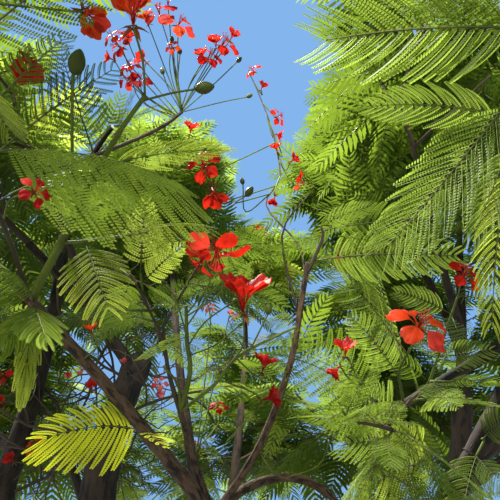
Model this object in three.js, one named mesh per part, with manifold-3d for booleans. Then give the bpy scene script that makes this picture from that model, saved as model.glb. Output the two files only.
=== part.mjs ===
// Flame tree, a broad flowering shade tree rooted in level ground.
// Millimetres, +Z up. The origin is at the middle of the flat cut under the trunk,
// and -Y is the side that the photograph was taken from, from under the crown.
import * as THREE from "three";
import { mergeVertices } from "three/addons/utils/BufferGeometryUtils.js";
import Module from "manifold-3d";

const wasm = await Module();
wasm.setup();

// Trunk, from the flat cut at ground level to the fork
const TRUNK_HEIGHT = 1300;
const TRUNK_LEAN_X = -60;
const TRUNK_LEAN_Y = 30;
const TRUNK_FOOT_RADIUS = 158;
const TRUNK_FORK_RADIUS = 118;
const FLARE_REACH = 115;
const FLARE_HEIGHT = 190;
const FLARE_ROOTS = 5;
const FLARE_ROOT_DEPTH = 0.3;
const TRUNK_SIDES = 25;
const TRUNK_RINGS = 9;
const TRUNK_RING_CROWDING = 1.35;
const FORK_DOME = 0.07;
const FORK_DOME_DROP = 0.75;

// Limbs. Each grows out of the limb named by "on", at the share "at" of its length.
// It starts towards "heading" (degrees from +X towards +Y) at the slope "climb",
// and turns by "turn" and lifts by "lift" on its way to its tip.
// "foot" and "tip" are its radii. A limb with "leaves" carries a mass of foliage.
const LIMBS = {
  front_bough: {
    on: "trunk", at: 0.93, heading: -86, climb: 39,
    turn: 0, lift: 0, length: 1000, foot: 48, tip: 30,
  },
  near_left_limb: {
    on: "front_bough", at: 1, heading: -128, climb: 30,
    turn: 3, lift: -8, length: 770, foot: 21, tip: 12, leaves: 700,
  },
  near_right_limb: {
    on: "front_bough", at: 1, heading: -47, climb: 30,
    turn: -35, lift: 18, length: 720, foot: 11, tip: 7, leaves: 620,
  },
  near_arched_limb: {
    on: "front_bough", at: 1, heading: 8, climb: 51,
    turn: 39, lift: -86, length: 500, foot: 14, tip: 11, leaves: 480,
  },
  near_centre_limb: {
    on: "front_bough", at: 1, heading: -116, climb: 43,
    turn: 12, lift: -8, length: 320, foot: 9.5, tip: 8, leaves: 500,
  },
  sawn_bough: {
    on: "trunk", at: 0.99, heading: -186, climb: 30,
    turn: 99, lift: 98, length: 1650, foot: 76, tip: 62,
  },
  sawn_side_limb: {
    on: "sawn_bough", at: 0.94, heading: -158, climb: 51,
    turn: 29, lift: -29, length: 850, foot: 34, tip: 18, leaves: 820,
  },
  high_left_limb: {
    on: "sawn_side_limb", at: 0.45, heading: -89, climb: 10,
    turn: -8, lift: 0, length: 820, foot: 21, tip: 13, leaves: 860,
  },
  left_bough: {
    on: "trunk", at: 0.88, heading: 171, climb: 39,
    turn: 0, lift: 7, length: 1390, foot: 68, tip: 55,
  },
  left_upright: {
    on: "left_bough", at: 1, heading: 152, climb: 96,
    turn: 19, lift: -24, length: 2040, foot: 53, tip: 26, leaves: 860,
  },
  hooked_stub: {
    on: "left_upright", at: 0.9, heading: -56, climb: 52,
    turn: 6, lift: -60, length: 760, foot: 24, tip: 15,
  },
  left_low_limb: {
    on: "left_bough", at: 0.75, heading: -157, climb: 32,
    turn: 5, lift: 0, length: 1380, foot: 33, tip: 18, leaves: 920,
  },
  left_back_limb: {
    on: "left_upright", at: 0.12, heading: 142, climb: 30,
    turn: 19, lift: -7, length: 1060, foot: 30, tip: 17, leaves: 920,
  },
  left_high_limb: {
    on: "left_upright", at: 0.42, heading: 101, climb: 28,
    turn: -1, lift: 17, length: 700, foot: 27, tip: 17, leaves: 890,
  },
  right_bough: {
    on: "trunk", at: 0.96, heading: 16, climb: 13,
    turn: -1, lift: 66, length: 2110, foot: 68, tip: 51,
  },
  right_side_limb: {
    on: "right_bough", at: 0.95, heading: -88, climb: 50,
    turn: -8, lift: -4, length: 840, foot: 34, tip: 18, leaves: 860,
  },
  right_crown_limb: {
    on: "right_side_limb", at: 0.35, heading: -122, climb: 69,
    turn: -57, lift: 1, length: 910, foot: 24, tip: 16, leaves: 890,
  },
  high_right_limb: {
    on: "right_side_limb", at: 0.5, heading: -116, climb: 8,
    turn: 3, lift: 0, length: 1060, foot: 21, tip: 13, leaves: 820,
  },
  right_far_limb: {
    on: "right_bough", at: 0.72, heading: 23, climb: 27,
    turn: -6, lift: 6, length: 1020, foot: 33, tip: 18, leaves: 920,
  },
  right_front_bough: {
    on: "trunk", at: 0.9, heading: -24, climb: 33,
    turn: -15, lift: 22, length: 2060, foot: 56, tip: 28, leaves: 640,
  },
  drooping_limb: {
    on: "right_front_bough", at: 0.93, heading: 145, climb: -25,
    turn: 62, lift: -7, length: 670, foot: 25, tip: 13, leaves: 560,
  },
  right_outer_limb: {
    on: "right_front_bough", at: 0.66, heading: -8, climb: 27,
    turn: 3, lift: 1, length: 1180, foot: 31, tip: 18, leaves: 920,
  },
  right_edge_limb: {
    on: "right_front_bough", at: 0.85, heading: -49, climb: 17,
    turn: -33, lift: 0, length: 950, foot: 27, tip: 17, leaves: 860,
  },
  front_right_limb: {
    on: "right_edge_limb", at: 0.55, heading: -100, climb: 15,
    turn: -29, lift: -5, length: 1130, foot: 19, tip: 13, leaves: 860,
  },
  left_front_bough: {
    on: "trunk", at: 0.84, heading: -137, climb: 33,
    turn: 9, lift: 2, length: 2350, foot: 55, tip: 27, leaves: 920,
  },
  front_left_limb: {
    on: "left_front_bough", at: 0.86, heading: -91, climb: 23,
    turn: 33, lift: -1, length: 1070, foot: 21, tip: 14, leaves: 860,
  },
  back_left_bough: {
    on: "trunk", at: 0.92, heading: 130, climb: 37,
    turn: -5, lift: 1, length: 2300, foot: 56, tip: 27, leaves: 960,
  },
  back_bough: {
    on: "trunk", at: 0.975, heading: 88, climb: 43,
    turn: 1, lift: -8, length: 2280, foot: 58, tip: 27, leaves: 960,
  },
  back_high_limb: {
    on: "back_bough", at: 0.45, heading: 58, climb: 80,
    turn: 26, lift: -7, length: 1320, foot: 31, tip: 18, leaves: 920,
  },
  centre_high_limb: {
    on: "back_bough", at: 0.28, heading: 160, climb: 74,
    turn: 44, lift: 8, length: 1930, foot: 36, tip: 18, leaves: 960,
  },
  back_right_bough: {
    on: "trunk", at: 0.87, heading: 47, climb: 34,
    turn: 3, lift: 9, length: 2340, foot: 56, tip: 27, leaves: 960,
  },
  back_right_high_limb: {
    on: "back_right_bough", at: 0.5, heading: 9, climb: 70,
    turn: 8, lift: 9, length: 1390, foot: 32, tip: 18, leaves: 920,
  },
};
const LIMB_SIDES = 7;
const LIMB_BEND_STEP = 18;
const LIMB_LONGEST_STEP = 600;
const LIMB_START_DEPTH = 0.9;

// Foliage. A mass has one stem, twigs along it and leaves along the twigs,
// and each leaf of the source stands for a spray of leaves.
const STEM_SHARE = 0.5;
const STEM_FOOT = 0.96;
const STEM_LIFT = 22;
const STEM_TAPER = 0.9;
const STEM_SIDES = 4;
const STEM_STEPS = 2;
const TWIGS = 5;
const TWIG_FIRST = 0.18;
const TWIG_LENGTH = 0.59;
const TWIG_LENGTH_SPREAD = 0.22;
const TWIG_OPEN_FIRST = 74;
const TWIG_OPEN_LAST = 30;
const TWIG_OPEN_SPREAD = 12;
const TWIG_ROLL_SPREAD = 40;
const TWIG_RISE = 0.28;
const TWIG_FOOT = 10;
const TWIG_TIP = 7.5;
const TWIG_SIDES = 3;
const TWIG_TESTS = [0.3, 0.65, 1];
const LEAVES = 5;
const LEAF_FIRST = 0.35;
const LEAF_LAST = 0.98;
const LEAF_OPEN = 58;
const LEAF_OPEN_SPREAD = 24;
const LEAF_ROLL_SPREAD = 60;
const LEAF_LEVELLING = 0.6;
const LEAF_LENGTH = 0.58;
const LEAF_LENGTH_SPREAD = 0.14;
const LEAF_WIDTH = 0.24;
const LEAF_LEAN_SPREAD = 80;
const LEAF_WIDEST = 0.38;
const LEAF_THICKNESS = 18;
const LEAF_SECTION_SIDES = 3;
const LEAF_ARCH = 0.12;
const LEAF_TESTS = [0.2, 0.31, 0.42, 0.56, 0.7, 0.85, 1];
const LEAF_ROOT = 5;
const BLOSSOM_TWIG = 1;
const BLOSSOM_RISE = 0.8;
const BLOSSOM_RADIUS = 110;
const BLOSSOM_DEPTH = 95;
const BLOSSOM_PETALS = 5;
const BLOSSOM_NOTCH = 0.5;
const BLOSSOM_ROOT = 26;
const TURN_PER_TWIG = 137.5;
const FIRST_SEED = 101;
const SEED_STEP = 37;

// Room that a mass keeps to: a ball round its middle, its own side of the planes
// between it and the other masses, clear of the limbs and of the open places
const MASS_CLEAR = 6;
const LIMB_CLEAR = 12;
const SPACE_FORWARD = 0.375;
const SPACE_RISE = 0.12;
const CROWN_RADIUS = 3050;
const CROWN_MIDDLE = 2650;
const CROWN_TOP = 4950;
const CROWN_FLOOR = 1560;
const CROWN_UNDERSIDE = 0.5;

// Place under the crown where the photograph was taken, and the ways from there
// that lead to open sky: degrees to the right, degrees up, half-width in degrees
const VIEWPOINT = new THREE.Vector3(100, -2250, 1500);
const VIEW_TILT = 40;
const VIEWPOINT_CLEAR = 520;
const SKY_WAYS = [
  { right: 2, up: 20, wide: 8 },
  { right: 5, up: -9, wide: 4.5 },
  { right: -17, up: -13, wide: 3.5 },
];

const GAP = 0.35;
const TIP_GAP = 0.3;
const DEGREE = Math.PI / 180;
const UP = new THREE.Vector3(0, 0, 1);
const ACROSS = new THREE.Vector3(1, 0, 0);

const barkFinish = () => new THREE.MeshStandardMaterial({ color: 0x7c6b5c, roughness: 0.9, metalness: 0 });
const leafFinish = () => new THREE.MeshStandardMaterial({ color: 0x5f8c33, roughness: 0.55, metalness: 0 });

// Geometry into solid and back

function solidOf(geometry) {
  geometry.deleteAttribute("normal");
  geometry.deleteAttribute("uv");
  const merged = mergeVertices(geometry, 1e-4);
  return new wasm.Manifold(new wasm.Mesh({
    numProp: 3,
    vertProperties: new Float32Array(merged.attributes.position.array),
    triVerts: new Uint32Array(merged.index.array),
  }));
}

function geometryOf(solid) {
  const mesh = solid.getMesh();
  const geometry = new THREE.BufferGeometry();
  geometry.setAttribute("position", new THREE.BufferAttribute(mesh.vertProperties, mesh.numProp));
  geometry.setIndex(new THREE.BufferAttribute(mesh.triVerts, 1));
  return geometry;
}

function largestPiece(solid) {
  const pieces = solid.decompose();
  return pieces.reduce((best, piece) => (piece.volume() > best.volume() ? piece : best));
}

// Random numbers that come out alike wherever the rule is written again

function seeded(seed) {
  let state = seed;
  return () => {
    state = (state * 16807) % 2147483647;
    return state / 2147483647;
  };
}

// Paths and directions

function directionOf(heading, climb) {
  const level = Math.cos(climb * DEGREE);
  return new THREE.Vector3(
    Math.cos(heading * DEGREE) * level,
    Math.sin(heading * DEGREE) * level,
    Math.sin(climb * DEGREE),
  );
}

function pathOf(start, { heading, climb, turn, lift, length }, steps) {
  const points = [start.clone()];
  for (let step = 0; step < steps; step += 1) {
    const share = (step + 0.5) / steps;
    const way = directionOf(heading + turn * share, climb + lift * share);
    points.push(points[step].clone().addScaledVector(way, length / steps));
  }
  return points;
}

function pointOn(path, share) {
  const place = THREE.MathUtils.clamp(share, 0, 1) * (path.length - 1);
  const index = Math.min(Math.floor(place), path.length - 2);
  return path[index].clone().lerp(path[index + 1], place - index);
}

function wayAlong(path, share) {
  const index = Math.min(Math.floor(share * (path.length - 1)), path.length - 2);
  return path[index + 1].clone().sub(path[index]).normalize();
}

function opened(way, roll, angle) {
  const side = Math.abs(way.z) > 0.95 ? ACROSS : UP;
  const first = way.clone().cross(side).normalize();
  const second = way.clone().cross(first);
  return way.clone().multiplyScalar(Math.cos(angle * DEGREE))
    .addScaledVector(first, Math.cos(roll * DEGREE) * Math.sin(angle * DEGREE))
    .addScaledVector(second, Math.sin(roll * DEGREE) * Math.sin(angle * DEGREE))
    .normalize();
}

// A tapering round limb along a path

function limbGeometry(path, foot, tip, sides, extra = 0) {
  const steps = path.length - 1;
  const geometry = new THREE.CylinderGeometry(1, 1, 1, sides, steps);
  const position = geometry.attributes.position;
  const frames = path.map((point, index) => {
    const before = path[Math.max(index - 1, 0)];
    const after = path[Math.min(index + 1, steps)];
    const way = after.clone().sub(before).normalize();
    const first = way.clone().cross(Math.abs(way.z) > 0.95 ? ACROSS : UP).normalize();
    return { point, way, first, second: way.clone().cross(first) };
  });
  for (let index = 1; index < frames.length; index += 1) {
    const { way, first, second } = frames[index];
    const kept = frames[index - 1].first.clone().addScaledVector(way, -frames[index - 1].first.dot(way));
    first.copy(kept.normalize());
    second.copy(way).cross(first);
  }
  for (let index = 0; index < position.count; index += 1) {
    const share = 0.5 - position.getY(index);
    const ring = Math.round(share * steps);
    const { point, way, first, second } = frames[steps - ring];
    const radius = THREE.MathUtils.lerp(tip, foot, share) + extra;
    const end = (ring === 0 ? 1 : 0) - (ring === steps ? 1 : 0);
    const placed = point.clone()
      .addScaledVector(first, position.getX(index) * radius)
      .addScaledVector(second, -position.getZ(index) * radius)
      .addScaledVector(way, end * extra);
    position.setXYZ(index, placed.x, placed.y, placed.z);
  }
  return geometry;
}

// Trunk with its root flare, on level rings so that its foot is a flat cut

function trunkCentre(height) {
  const share = height / TRUNK_HEIGHT;
  return new THREE.Vector3(TRUNK_LEAN_X * share * share, TRUNK_LEAN_Y * share * share, height);
}

function trunkRadius(height, angle) {
  const share = height / TRUNK_HEIGHT;
  const plain = THREE.MathUtils.lerp(TRUNK_FOOT_RADIUS, TRUNK_FORK_RADIUS, share);
  const flare = FLARE_REACH * Math.exp(-height / FLARE_HEIGHT);
  const roots = 1 + FLARE_ROOT_DEPTH * Math.cos(FLARE_ROOTS * angle);
  const dome = Math.max(0, (share - 1 + FORK_DOME) / FORK_DOME);
  return (plain + flare * roots) * Math.sqrt(1 - FORK_DOME_DROP * dome * dome);
}

function trunkGeometry(extra = 0) {
  const geometry = new THREE.CylinderGeometry(1, 1, 1, TRUNK_SIDES, TRUNK_RINGS);
  const position = geometry.attributes.position;
  for (let index = 0; index < position.count; index += 1) {
    const share = position.getY(index) + 0.5;
    const height = TRUNK_HEIGHT * share ** TRUNK_RING_CROWDING;
    const centre = trunkCentre(height);
    const across = position.getX(index);
    const along = -position.getZ(index);
    const angle = Math.atan2(along, across);
    const radius = Math.hypot(across, along) * (trunkRadius(height, angle) + extra);
    const x = centre.x + Math.cos(angle) * radius;
    const y = centre.y + Math.sin(angle) * radius;
    position.setXYZ(index, x, y, height + Math.floor(share) * extra);
  }
  return geometry;
}

// Limbs: paths first, then solids, each cut clear of those before it

function limbSteps({ turn, lift, length }) {
  const bend = Math.abs(turn) + Math.abs(lift);
  return Math.max(2, Math.ceil(bend / LIMB_BEND_STEP), Math.ceil(length / LIMB_LONGEST_STEP));
}

function limbPaths() {
  const trunkPath = [0, 0.25, 0.5, 0.75, 1].map((share) => trunkCentre(share * TRUNK_HEIGHT));
  const paths = { trunk: trunkPath };
  for (const [name, limb] of Object.entries(LIMBS)) {
    const parent = LIMBS[limb.on];
    const depth = parent && limb.at === 1 ? (LIMB_START_DEPTH * parent.tip) / parent.length : 0;
    const start = pointOn(paths[limb.on], limb.at - depth);
    paths[name] = pathOf(start, limb, limbSteps(limb));
  }
  return paths;
}

function limbSolids(paths) {
  const solids = { trunk: solidOf(trunkGeometry()) };
  const cutters = [solidOf(trunkGeometry(GAP))];
  for (const [name, { foot, tip }] of Object.entries(LIMBS)) {
    let solid = solidOf(limbGeometry(paths[name], foot, tip, LIMB_SIDES));
    for (const cutter of cutters) {
      solid = solid.subtract(cutter);
    }
    solids[name] = largestPiece(solid);
    cutters.push(solidOf(limbGeometry(paths[name], foot, tip, LIMB_SIDES, GAP)));
  }
  return solids;
}

// Leaves, blossom, twigs

function leafFrame(root, way, roll, length) {
  const level = Math.abs(way.z) > 0.95 ? ACROSS.clone() : UP.clone().cross(way);
  const side = level.normalize().applyAxisAngle(way, roll * DEGREE);
  return { root, way, side, face: way.clone().cross(side), length };
}

function leafPoint({ root, way, side, face, length }, share, across, keel) {
  return root.clone()
    .addScaledVector(way, share * length - LEAF_ROOT)
    .addScaledVector(side, across * length * LEAF_WIDTH)
    .addScaledVector(face, -keel * LEAF_THICKNESS)
    .addScaledVector(UP, -LEAF_ARCH * length * share * share);
}

function leafGeometry(frame) {
  const geometry = new THREE.SphereGeometry(1, LEAF_SECTION_SIDES, 2);
  const position = geometry.attributes.position;
  const sideReach = Math.sin((2 * Math.PI) / LEAF_SECTION_SIDES);
  for (let index = 0; index < position.count; index += 1) {
    const along = Math.round(position.getY(index));
    const share = along > 0 ? 1 : LEAF_WIDEST * (along + 1);
    const keel = position.getX(index) < -0.9 ? 1 : 0;
    const placed = leafPoint(frame, share, position.getZ(index) / sideReach, keel);
    position.setXYZ(index, placed.x, placed.y, placed.z);
  }
  return geometry;
}

function blossomGeometry(root, way) {
  const geometry = new THREE.ConeGeometry(1, 1, BLOSSOM_PETALS * 2, 1);
  const position = geometry.attributes.position;
  const first = opened(way, 0, 90);
  const second = way.clone().cross(first);
  for (let index = 0; index < position.count; index += 1) {
    const across = position.getX(index);
    const along = position.getZ(index);
    const petal = Math.round((Math.atan2(along, across) / Math.PI) * BLOSSOM_PETALS);
    const reach = BLOSSOM_RADIUS * (petal % 2 === 0 ? 1 : BLOSSOM_NOTCH);
    const placed = root.clone()
      .addScaledVector(way, (0.5 - position.getY(index)) * BLOSSOM_DEPTH - BLOSSOM_ROOT)
      .addScaledVector(first, across * reach)
      .addScaledVector(second, along * reach);
    position.setXYZ(index, placed.x, placed.y, placed.z);
  }
  return geometry;
}

// Masses of foliage

function massMiddle(path, reach) {
  const way = wayAlong(path, 1);
  return path[path.length - 1].clone()
    .addScaledVector(way, reach * SPACE_FORWARD)
    .addScaledVector(UP, reach * SPACE_RISE);
}

function skyWay({ right, up }) {
  const sight = new THREE.Vector3(Math.tan(right * DEGREE), 1, Math.tan(up * DEGREE)).normalize();
  return sight.applyAxisAngle(ACROSS, VIEW_TILT * DEGREE);
}

function isInOpenPlace(point) {
  const sight = point.clone().sub(VIEWPOINT);
  const distance = sight.length();
  if (distance < VIEWPOINT_CLEAR) {
    return true;
  }
  return SKY_WAYS.some((sky) => sight.angleTo(skyWay(sky)) < sky.wide * DEGREE);
}

function isInCrown(point) {
  const level = Math.hypot(point.x, point.y) / CROWN_RADIUS;
  const height = point.z > CROWN_MIDDLE
    ? (point.z - CROWN_MIDDLE) / (CROWN_TOP - CROWN_MIDDLE)
    : ((CROWN_MIDDLE - point.z) / (CROWN_MIDDLE - CROWN_FLOOR)) * CROWN_UNDERSIDE;
  return point.z > CROWN_FLOOR && level * level + height * height < 1;
}

function isInSpace(mass, masses, point, room) {
  const reach = point.distanceTo(mass.middle);
  if (reach + room > mass.reach || !isInCrown(point) || isInOpenPlace(point)) {
    return false;
  }
  return masses.every((other) => {
    if (other === mass) {
      return true;
    }
    const apart = other.middle.distanceTo(mass.middle);
    const past = (point.distanceToSquared(other.middle) - reach * reach) / (2 * apart);
    return past > room + MASS_CLEAR;
  });
}

function isClearOfLimbs(paths, point, room) {
  return Object.entries(LIMBS).every(([name, limb]) => {
    const path = paths[name];
    return path.every((start, index) => {
      if (index === path.length - 1) {
        return true;
      }
      const line = new THREE.Line3(start, path[index + 1]);
      const share = line.closestPointToPointParameter(point, true);
      const radius = THREE.MathUtils.lerp(limb.foot, limb.tip, (index + share) / (path.length - 1));
      return line.at(share, new THREE.Vector3()).distanceTo(point) > radius + room + LIMB_CLEAR;
    });
  });
}

function isTwigFree(mass, masses, paths, path) {
  return TWIG_TESTS.every((along) => {
    const point = pointOn(path, along);
    return isInSpace(mass, masses, point, TWIG_FOOT) && isClearOfLimbs(paths, point, TWIG_FOOT);
  });
}

function isLeafFree(mass, masses, paths, frame) {
  const corners = [[0, 0], [LEAF_WIDEST, -1], [LEAF_WIDEST, 1], [1, 0]];
  const inSpace = corners.every(([share, across]) => {
    return isInSpace(mass, masses, leafPoint(frame, share, across, 0), LEAF_THICKNESS);
  });
  return inSpace && LEAF_TESTS.every((share) => {
    const local = share < LEAF_WIDEST ? share / LEAF_WIDEST : (1 - share) / (1 - LEAF_WIDEST);
    return isClearOfLimbs(paths, leafPoint(frame, share, 0, 0), local * frame.length * LEAF_WIDTH);
  });
}

function stemPath(mass, masses, paths) {
  const way = wayAlong(paths[mass.name], 1);
  const start = pointOn(paths[mass.name], 1).addScaledVector(way, TIP_GAP);
  const length = mass.reach * STEM_SHARE;
  const heading = Math.atan2(way.y, way.x) / DEGREE;
  const climb = Math.asin(way.z) / DEGREE;
  const path = pathOf(start, { heading, climb, turn: 0, lift: STEM_LIFT, length }, STEM_STEPS);
  path[1] = start.clone().addScaledVector(way, length / STEM_STEPS);
  const stop = path.findIndex((point, index) => index > 1
    && !(isInSpace(mass, masses, point, mass.tip) && isClearOfLimbs(paths, point, mass.tip)));
  return stop < 0 ? path : path.slice(0, stop);
}

function twigRule(random, mass, stem, twig) {
  const share = TWIG_FIRST + ((1 - TWIG_FIRST) * (twig + 0.5)) / TWIGS;
  const roll = twig * TURN_PER_TWIG + random() * TWIG_ROLL_SPREAD;
  const open = THREE.MathUtils.lerp(TWIG_OPEN_FIRST, TWIG_OPEN_LAST, share) + random() * TWIG_OPEN_SPREAD;
  const length = mass.reach * (TWIG_LENGTH + (random() - 0.5) * TWIG_LENGTH_SPREAD);
  const way = opened(wayAlong(stem, share), roll, open);
  way.z += TWIG_RISE;
  way.normalize();
  const foot = pointOn(stem, share);
  return { way, path: [foot, foot.clone().addScaledVector(way, length)] };
}

function leafRule(random, mass, twig, leaf) {
  const share = LEAF_FIRST + ((LEAF_LAST - LEAF_FIRST) * leaf) / (LEAVES - 1);
  const roll = leaf * TURN_PER_TWIG + random() * LEAF_ROLL_SPREAD;
  const open = LEAF_OPEN + (random() - 0.5) * LEAF_OPEN_SPREAD;
  const length = mass.reach * (LEAF_LENGTH + (random() - 0.5) * LEAF_LENGTH_SPREAD);
  const lean = (random() - 0.5) * LEAF_LEAN_SPREAD;
  const way = opened(twig.way, roll, open);
  way.z *= LEAF_LEVELLING;
  return leafFrame(pointOn(twig.path, share), way.normalize(), lean, length);
}

function isBlossomFree(mass, masses, paths, tip, way) {
  const head = tip.clone().addScaledVector(way, BLOSSOM_DEPTH / 2 - BLOSSOM_ROOT);
  return isInSpace(mass, masses, head, BLOSSOM_RADIUS) && isClearOfLimbs(paths, head, BLOSSOM_RADIUS);
}

function massSolid(mass, masses, paths) {
  const random = seeded(mass.seed);
  const stem = stemPath(mass, masses, paths);
  const pieces = [limbGeometry(stem, mass.tip * STEM_FOOT, mass.tip * STEM_TAPER, STEM_SIDES)];
  for (let index = 0; index < TWIGS; index += 1) {
    const twig = twigRule(random, mass, stem, index);
    const frames = Array.from({ length: LEAVES }, (_, leaf) => leafRule(random, mass, twig, leaf));
    if (isTwigFree(mass, masses, paths, twig.path)) {
      const leaves = frames.filter((frame) => isLeafFree(mass, masses, paths, frame));
      pieces.push(limbGeometry(twig.path, TWIG_FOOT, TWIG_TIP, TWIG_SIDES), ...leaves.map(leafGeometry));
      const tip = pointOn(twig.path, 1);
      const way = twig.way.clone().setZ(twig.way.z + BLOSSOM_RISE).normalize();
      if (index === BLOSSOM_TWIG && isBlossomFree(mass, masses, paths, tip, way)) {
        pieces.push(blossomGeometry(tip, way));
      }
    }
  }
  const whole = pieces.map(solidOf).reduce((solid, piece) => solid.add(piece));
  return largestPiece(whole);
}

// The tree

function meshOf(name, solid, material) {
  const mesh = new THREE.Mesh(geometryOf(solid), material);
  mesh.name = name;
  return mesh;
}

function flameTree() {
  const tree = new THREE.Group();
  const paths = limbPaths();
  for (const [name, solid] of Object.entries(limbSolids(paths))) {
    tree.add(meshOf(name, solid, barkFinish()));
  }
  const masses = Object.entries(LIMBS)
    .filter(([, limb]) => limb.leaves)
    .map(([name, limb], index) => ({
      name,
      tip: limb.tip,
      reach: limb.leaves,
      middle: massMiddle(paths[name], limb.leaves),
      seed: FIRST_SEED + SEED_STEP * index,
    }));
  for (const mass of masses) {
    const nodeName = `${mass.name.replace(/_(limb|bough)$/, "")}_foliage`;
    tree.add(meshOf(nodeName, massSolid(mass, masses, paths), leafFinish()));
  }
  return tree;
}

const group = flameTree();

export default group;
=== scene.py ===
"""Flame tree: bark, twigs, feathery leaves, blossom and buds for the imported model, and its stage."""
import math
from collections import namedtuple
from functools import cache

import bmesh
import bpy
import numpy as np
from mathutils import Matrix, Vector, noise


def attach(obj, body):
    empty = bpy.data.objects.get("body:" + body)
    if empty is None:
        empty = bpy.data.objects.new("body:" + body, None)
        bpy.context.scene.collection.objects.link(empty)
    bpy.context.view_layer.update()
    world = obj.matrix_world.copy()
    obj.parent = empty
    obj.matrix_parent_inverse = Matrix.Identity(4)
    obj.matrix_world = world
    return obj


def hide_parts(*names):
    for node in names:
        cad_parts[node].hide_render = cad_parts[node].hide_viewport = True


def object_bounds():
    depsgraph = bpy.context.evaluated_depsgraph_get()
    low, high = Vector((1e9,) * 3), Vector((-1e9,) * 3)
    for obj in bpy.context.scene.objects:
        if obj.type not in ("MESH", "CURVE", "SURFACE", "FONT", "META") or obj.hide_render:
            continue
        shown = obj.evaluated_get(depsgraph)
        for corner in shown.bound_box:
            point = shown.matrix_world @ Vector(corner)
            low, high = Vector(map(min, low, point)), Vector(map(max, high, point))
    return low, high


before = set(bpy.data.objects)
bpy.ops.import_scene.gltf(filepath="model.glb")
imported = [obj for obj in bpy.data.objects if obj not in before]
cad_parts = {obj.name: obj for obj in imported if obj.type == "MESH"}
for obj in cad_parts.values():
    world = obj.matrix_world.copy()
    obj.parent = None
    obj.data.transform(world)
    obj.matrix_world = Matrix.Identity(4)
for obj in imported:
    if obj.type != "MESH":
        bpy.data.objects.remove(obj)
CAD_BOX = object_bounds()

bl_info = {
    "name": "Flame tree",
    "version": (1, 0, 0),
    "blender": (4, 5, 0),
    "location": "3D view > Sidebar > Flame tree",
    "description": "Dresses the packed flame tree with bark, leaves and blossom",
    "category": "Object",
}

MM = 0.001
UP = np.array([0.0, 0.0, 1.0])
ACROSS = np.array([1.0, 0.0, 0.0])
# Sides of a direction this close to upright are measured from ACROSS, not from UP
STEEP = 0.95

# Trunk, in metres: the same named values as the source
TRUNK_HEIGHT = 1.3
TRUNK_LEAN = (-0.06, 0.03)
TRUNK_FOOT_RADIUS = 0.158
TRUNK_FORK_RADIUS = 0.118
FLARE_REACH = 0.115
FLARE_HEIGHT = 0.19
FLARE_ROOTS = 5
FLARE_ROOT_DEPTH = 0.3
FORK_DOME = 0.07
FORK_DOME_DROP = 0.75

# Limbs, in millimetres and degrees: on, at, heading, climb, turn, lift, length, foot, tip, leaves
Limb = namedtuple("Limb", "on at heading climb turn lift length foot tip leaves")
LIMBS = {name: Limb(*values) for name, values in {
    "front_bough": ("trunk", 0.93, -86, 39, 0, 0, 1000, 48, 30, 0),
    "near_left_limb": ("front_bough", 1, -128, 30, 3, -8, 770, 21, 12, 700),
    "near_right_limb": ("front_bough", 1, -47, 30, -35, 18, 720, 11, 7, 620),
    "near_arched_limb": ("front_bough", 1, 8, 51, 39, -86, 500, 14, 11, 480),
    "near_centre_limb": ("front_bough", 1, -116, 43, 12, -8, 320, 9.5, 8, 500),
    "sawn_bough": ("trunk", 0.99, -186, 30, 99, 98, 1650, 76, 62, 0),
    "sawn_side_limb": ("sawn_bough", 0.94, -158, 51, 29, -29, 850, 34, 18, 820),
    "high_left_limb": ("sawn_side_limb", 0.45, -89, 10, -8, 0, 820, 21, 13, 860),
    "left_bough": ("trunk", 0.88, 171, 39, 0, 7, 1390, 68, 55, 0),
    "left_upright": ("left_bough", 1, 152, 96, 19, -24, 2040, 53, 26, 860),
    "hooked_stub": ("left_upright", 0.9, -56, 52, 6, -60, 760, 24, 15, 0),
    "left_low_limb": ("left_bough", 0.75, -157, 32, 5, 0, 1380, 33, 18, 920),
    "left_back_limb": ("left_upright", 0.12, 142, 30, 19, -7, 1060, 30, 17, 920),
    "left_high_limb": ("left_upright", 0.42, 101, 28, -1, 17, 700, 27, 17, 890),
    "right_bough": ("trunk", 0.96, 16, 13, -1, 66, 2110, 68, 51, 0),
    "right_side_limb": ("right_bough", 0.95, -88, 50, -8, -4, 840, 34, 18, 860),
    "right_crown_limb": ("right_side_limb", 0.35, -122, 69, -57, 1, 910, 24, 16, 890),
    "high_right_limb": ("right_side_limb", 0.5, -116, 8, 3, 0, 1060, 21, 13, 820),
    "right_far_limb": ("right_bough", 0.72, 23, 27, -6, 6, 1020, 33, 18, 920),
    "right_front_bough": ("trunk", 0.9, -24, 33, -15, 22, 2060, 56, 28, 640),
    "drooping_limb": ("right_front_bough", 0.93, 145, -25, 62, -7, 670, 25, 13, 560),
    "right_outer_limb": ("right_front_bough", 0.66, -8, 27, 3, 1, 1180, 31, 18, 920),
    "right_edge_limb": ("right_front_bough", 0.85, -49, 17, -33, 0, 950, 27, 17, 860),
    "front_right_limb": ("right_edge_limb", 0.55, -100, 15, -29, -5, 1130, 19, 13, 860),
    "left_front_bough": ("trunk", 0.84, -137, 33, 9, 2, 2350, 55, 27, 920),
    "front_left_limb": ("left_front_bough", 0.86, -91, 23, 33, -1, 1070, 21, 14, 860),
    "back_left_bough": ("trunk", 0.92, 130, 37, -5, 1, 2300, 56, 27, 960),
    "back_bough": ("trunk", 0.975, 88, 43, 1, -8, 2280, 58, 27, 960),
    "back_high_limb": ("back_bough", 0.45, 58, 80, 26, -7, 1320, 31, 18, 920),
    "centre_high_limb": ("back_bough", 0.28, 160, 74, 44, 8, 1930, 36, 18, 960),
    "back_right_bough": ("trunk", 0.87, 47, 34, 3, 9, 2340, 56, 27, 960),
    "back_right_high_limb": ("back_right_bough", 0.5, 9, 70, 8, 9, 1390, 32, 18, 920),
}.items()}
NEAR_LIMBS = ("front_bough", "near_left_limb", "near_right_limb", "near_arched_limb", "near_centre_limb")
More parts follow.
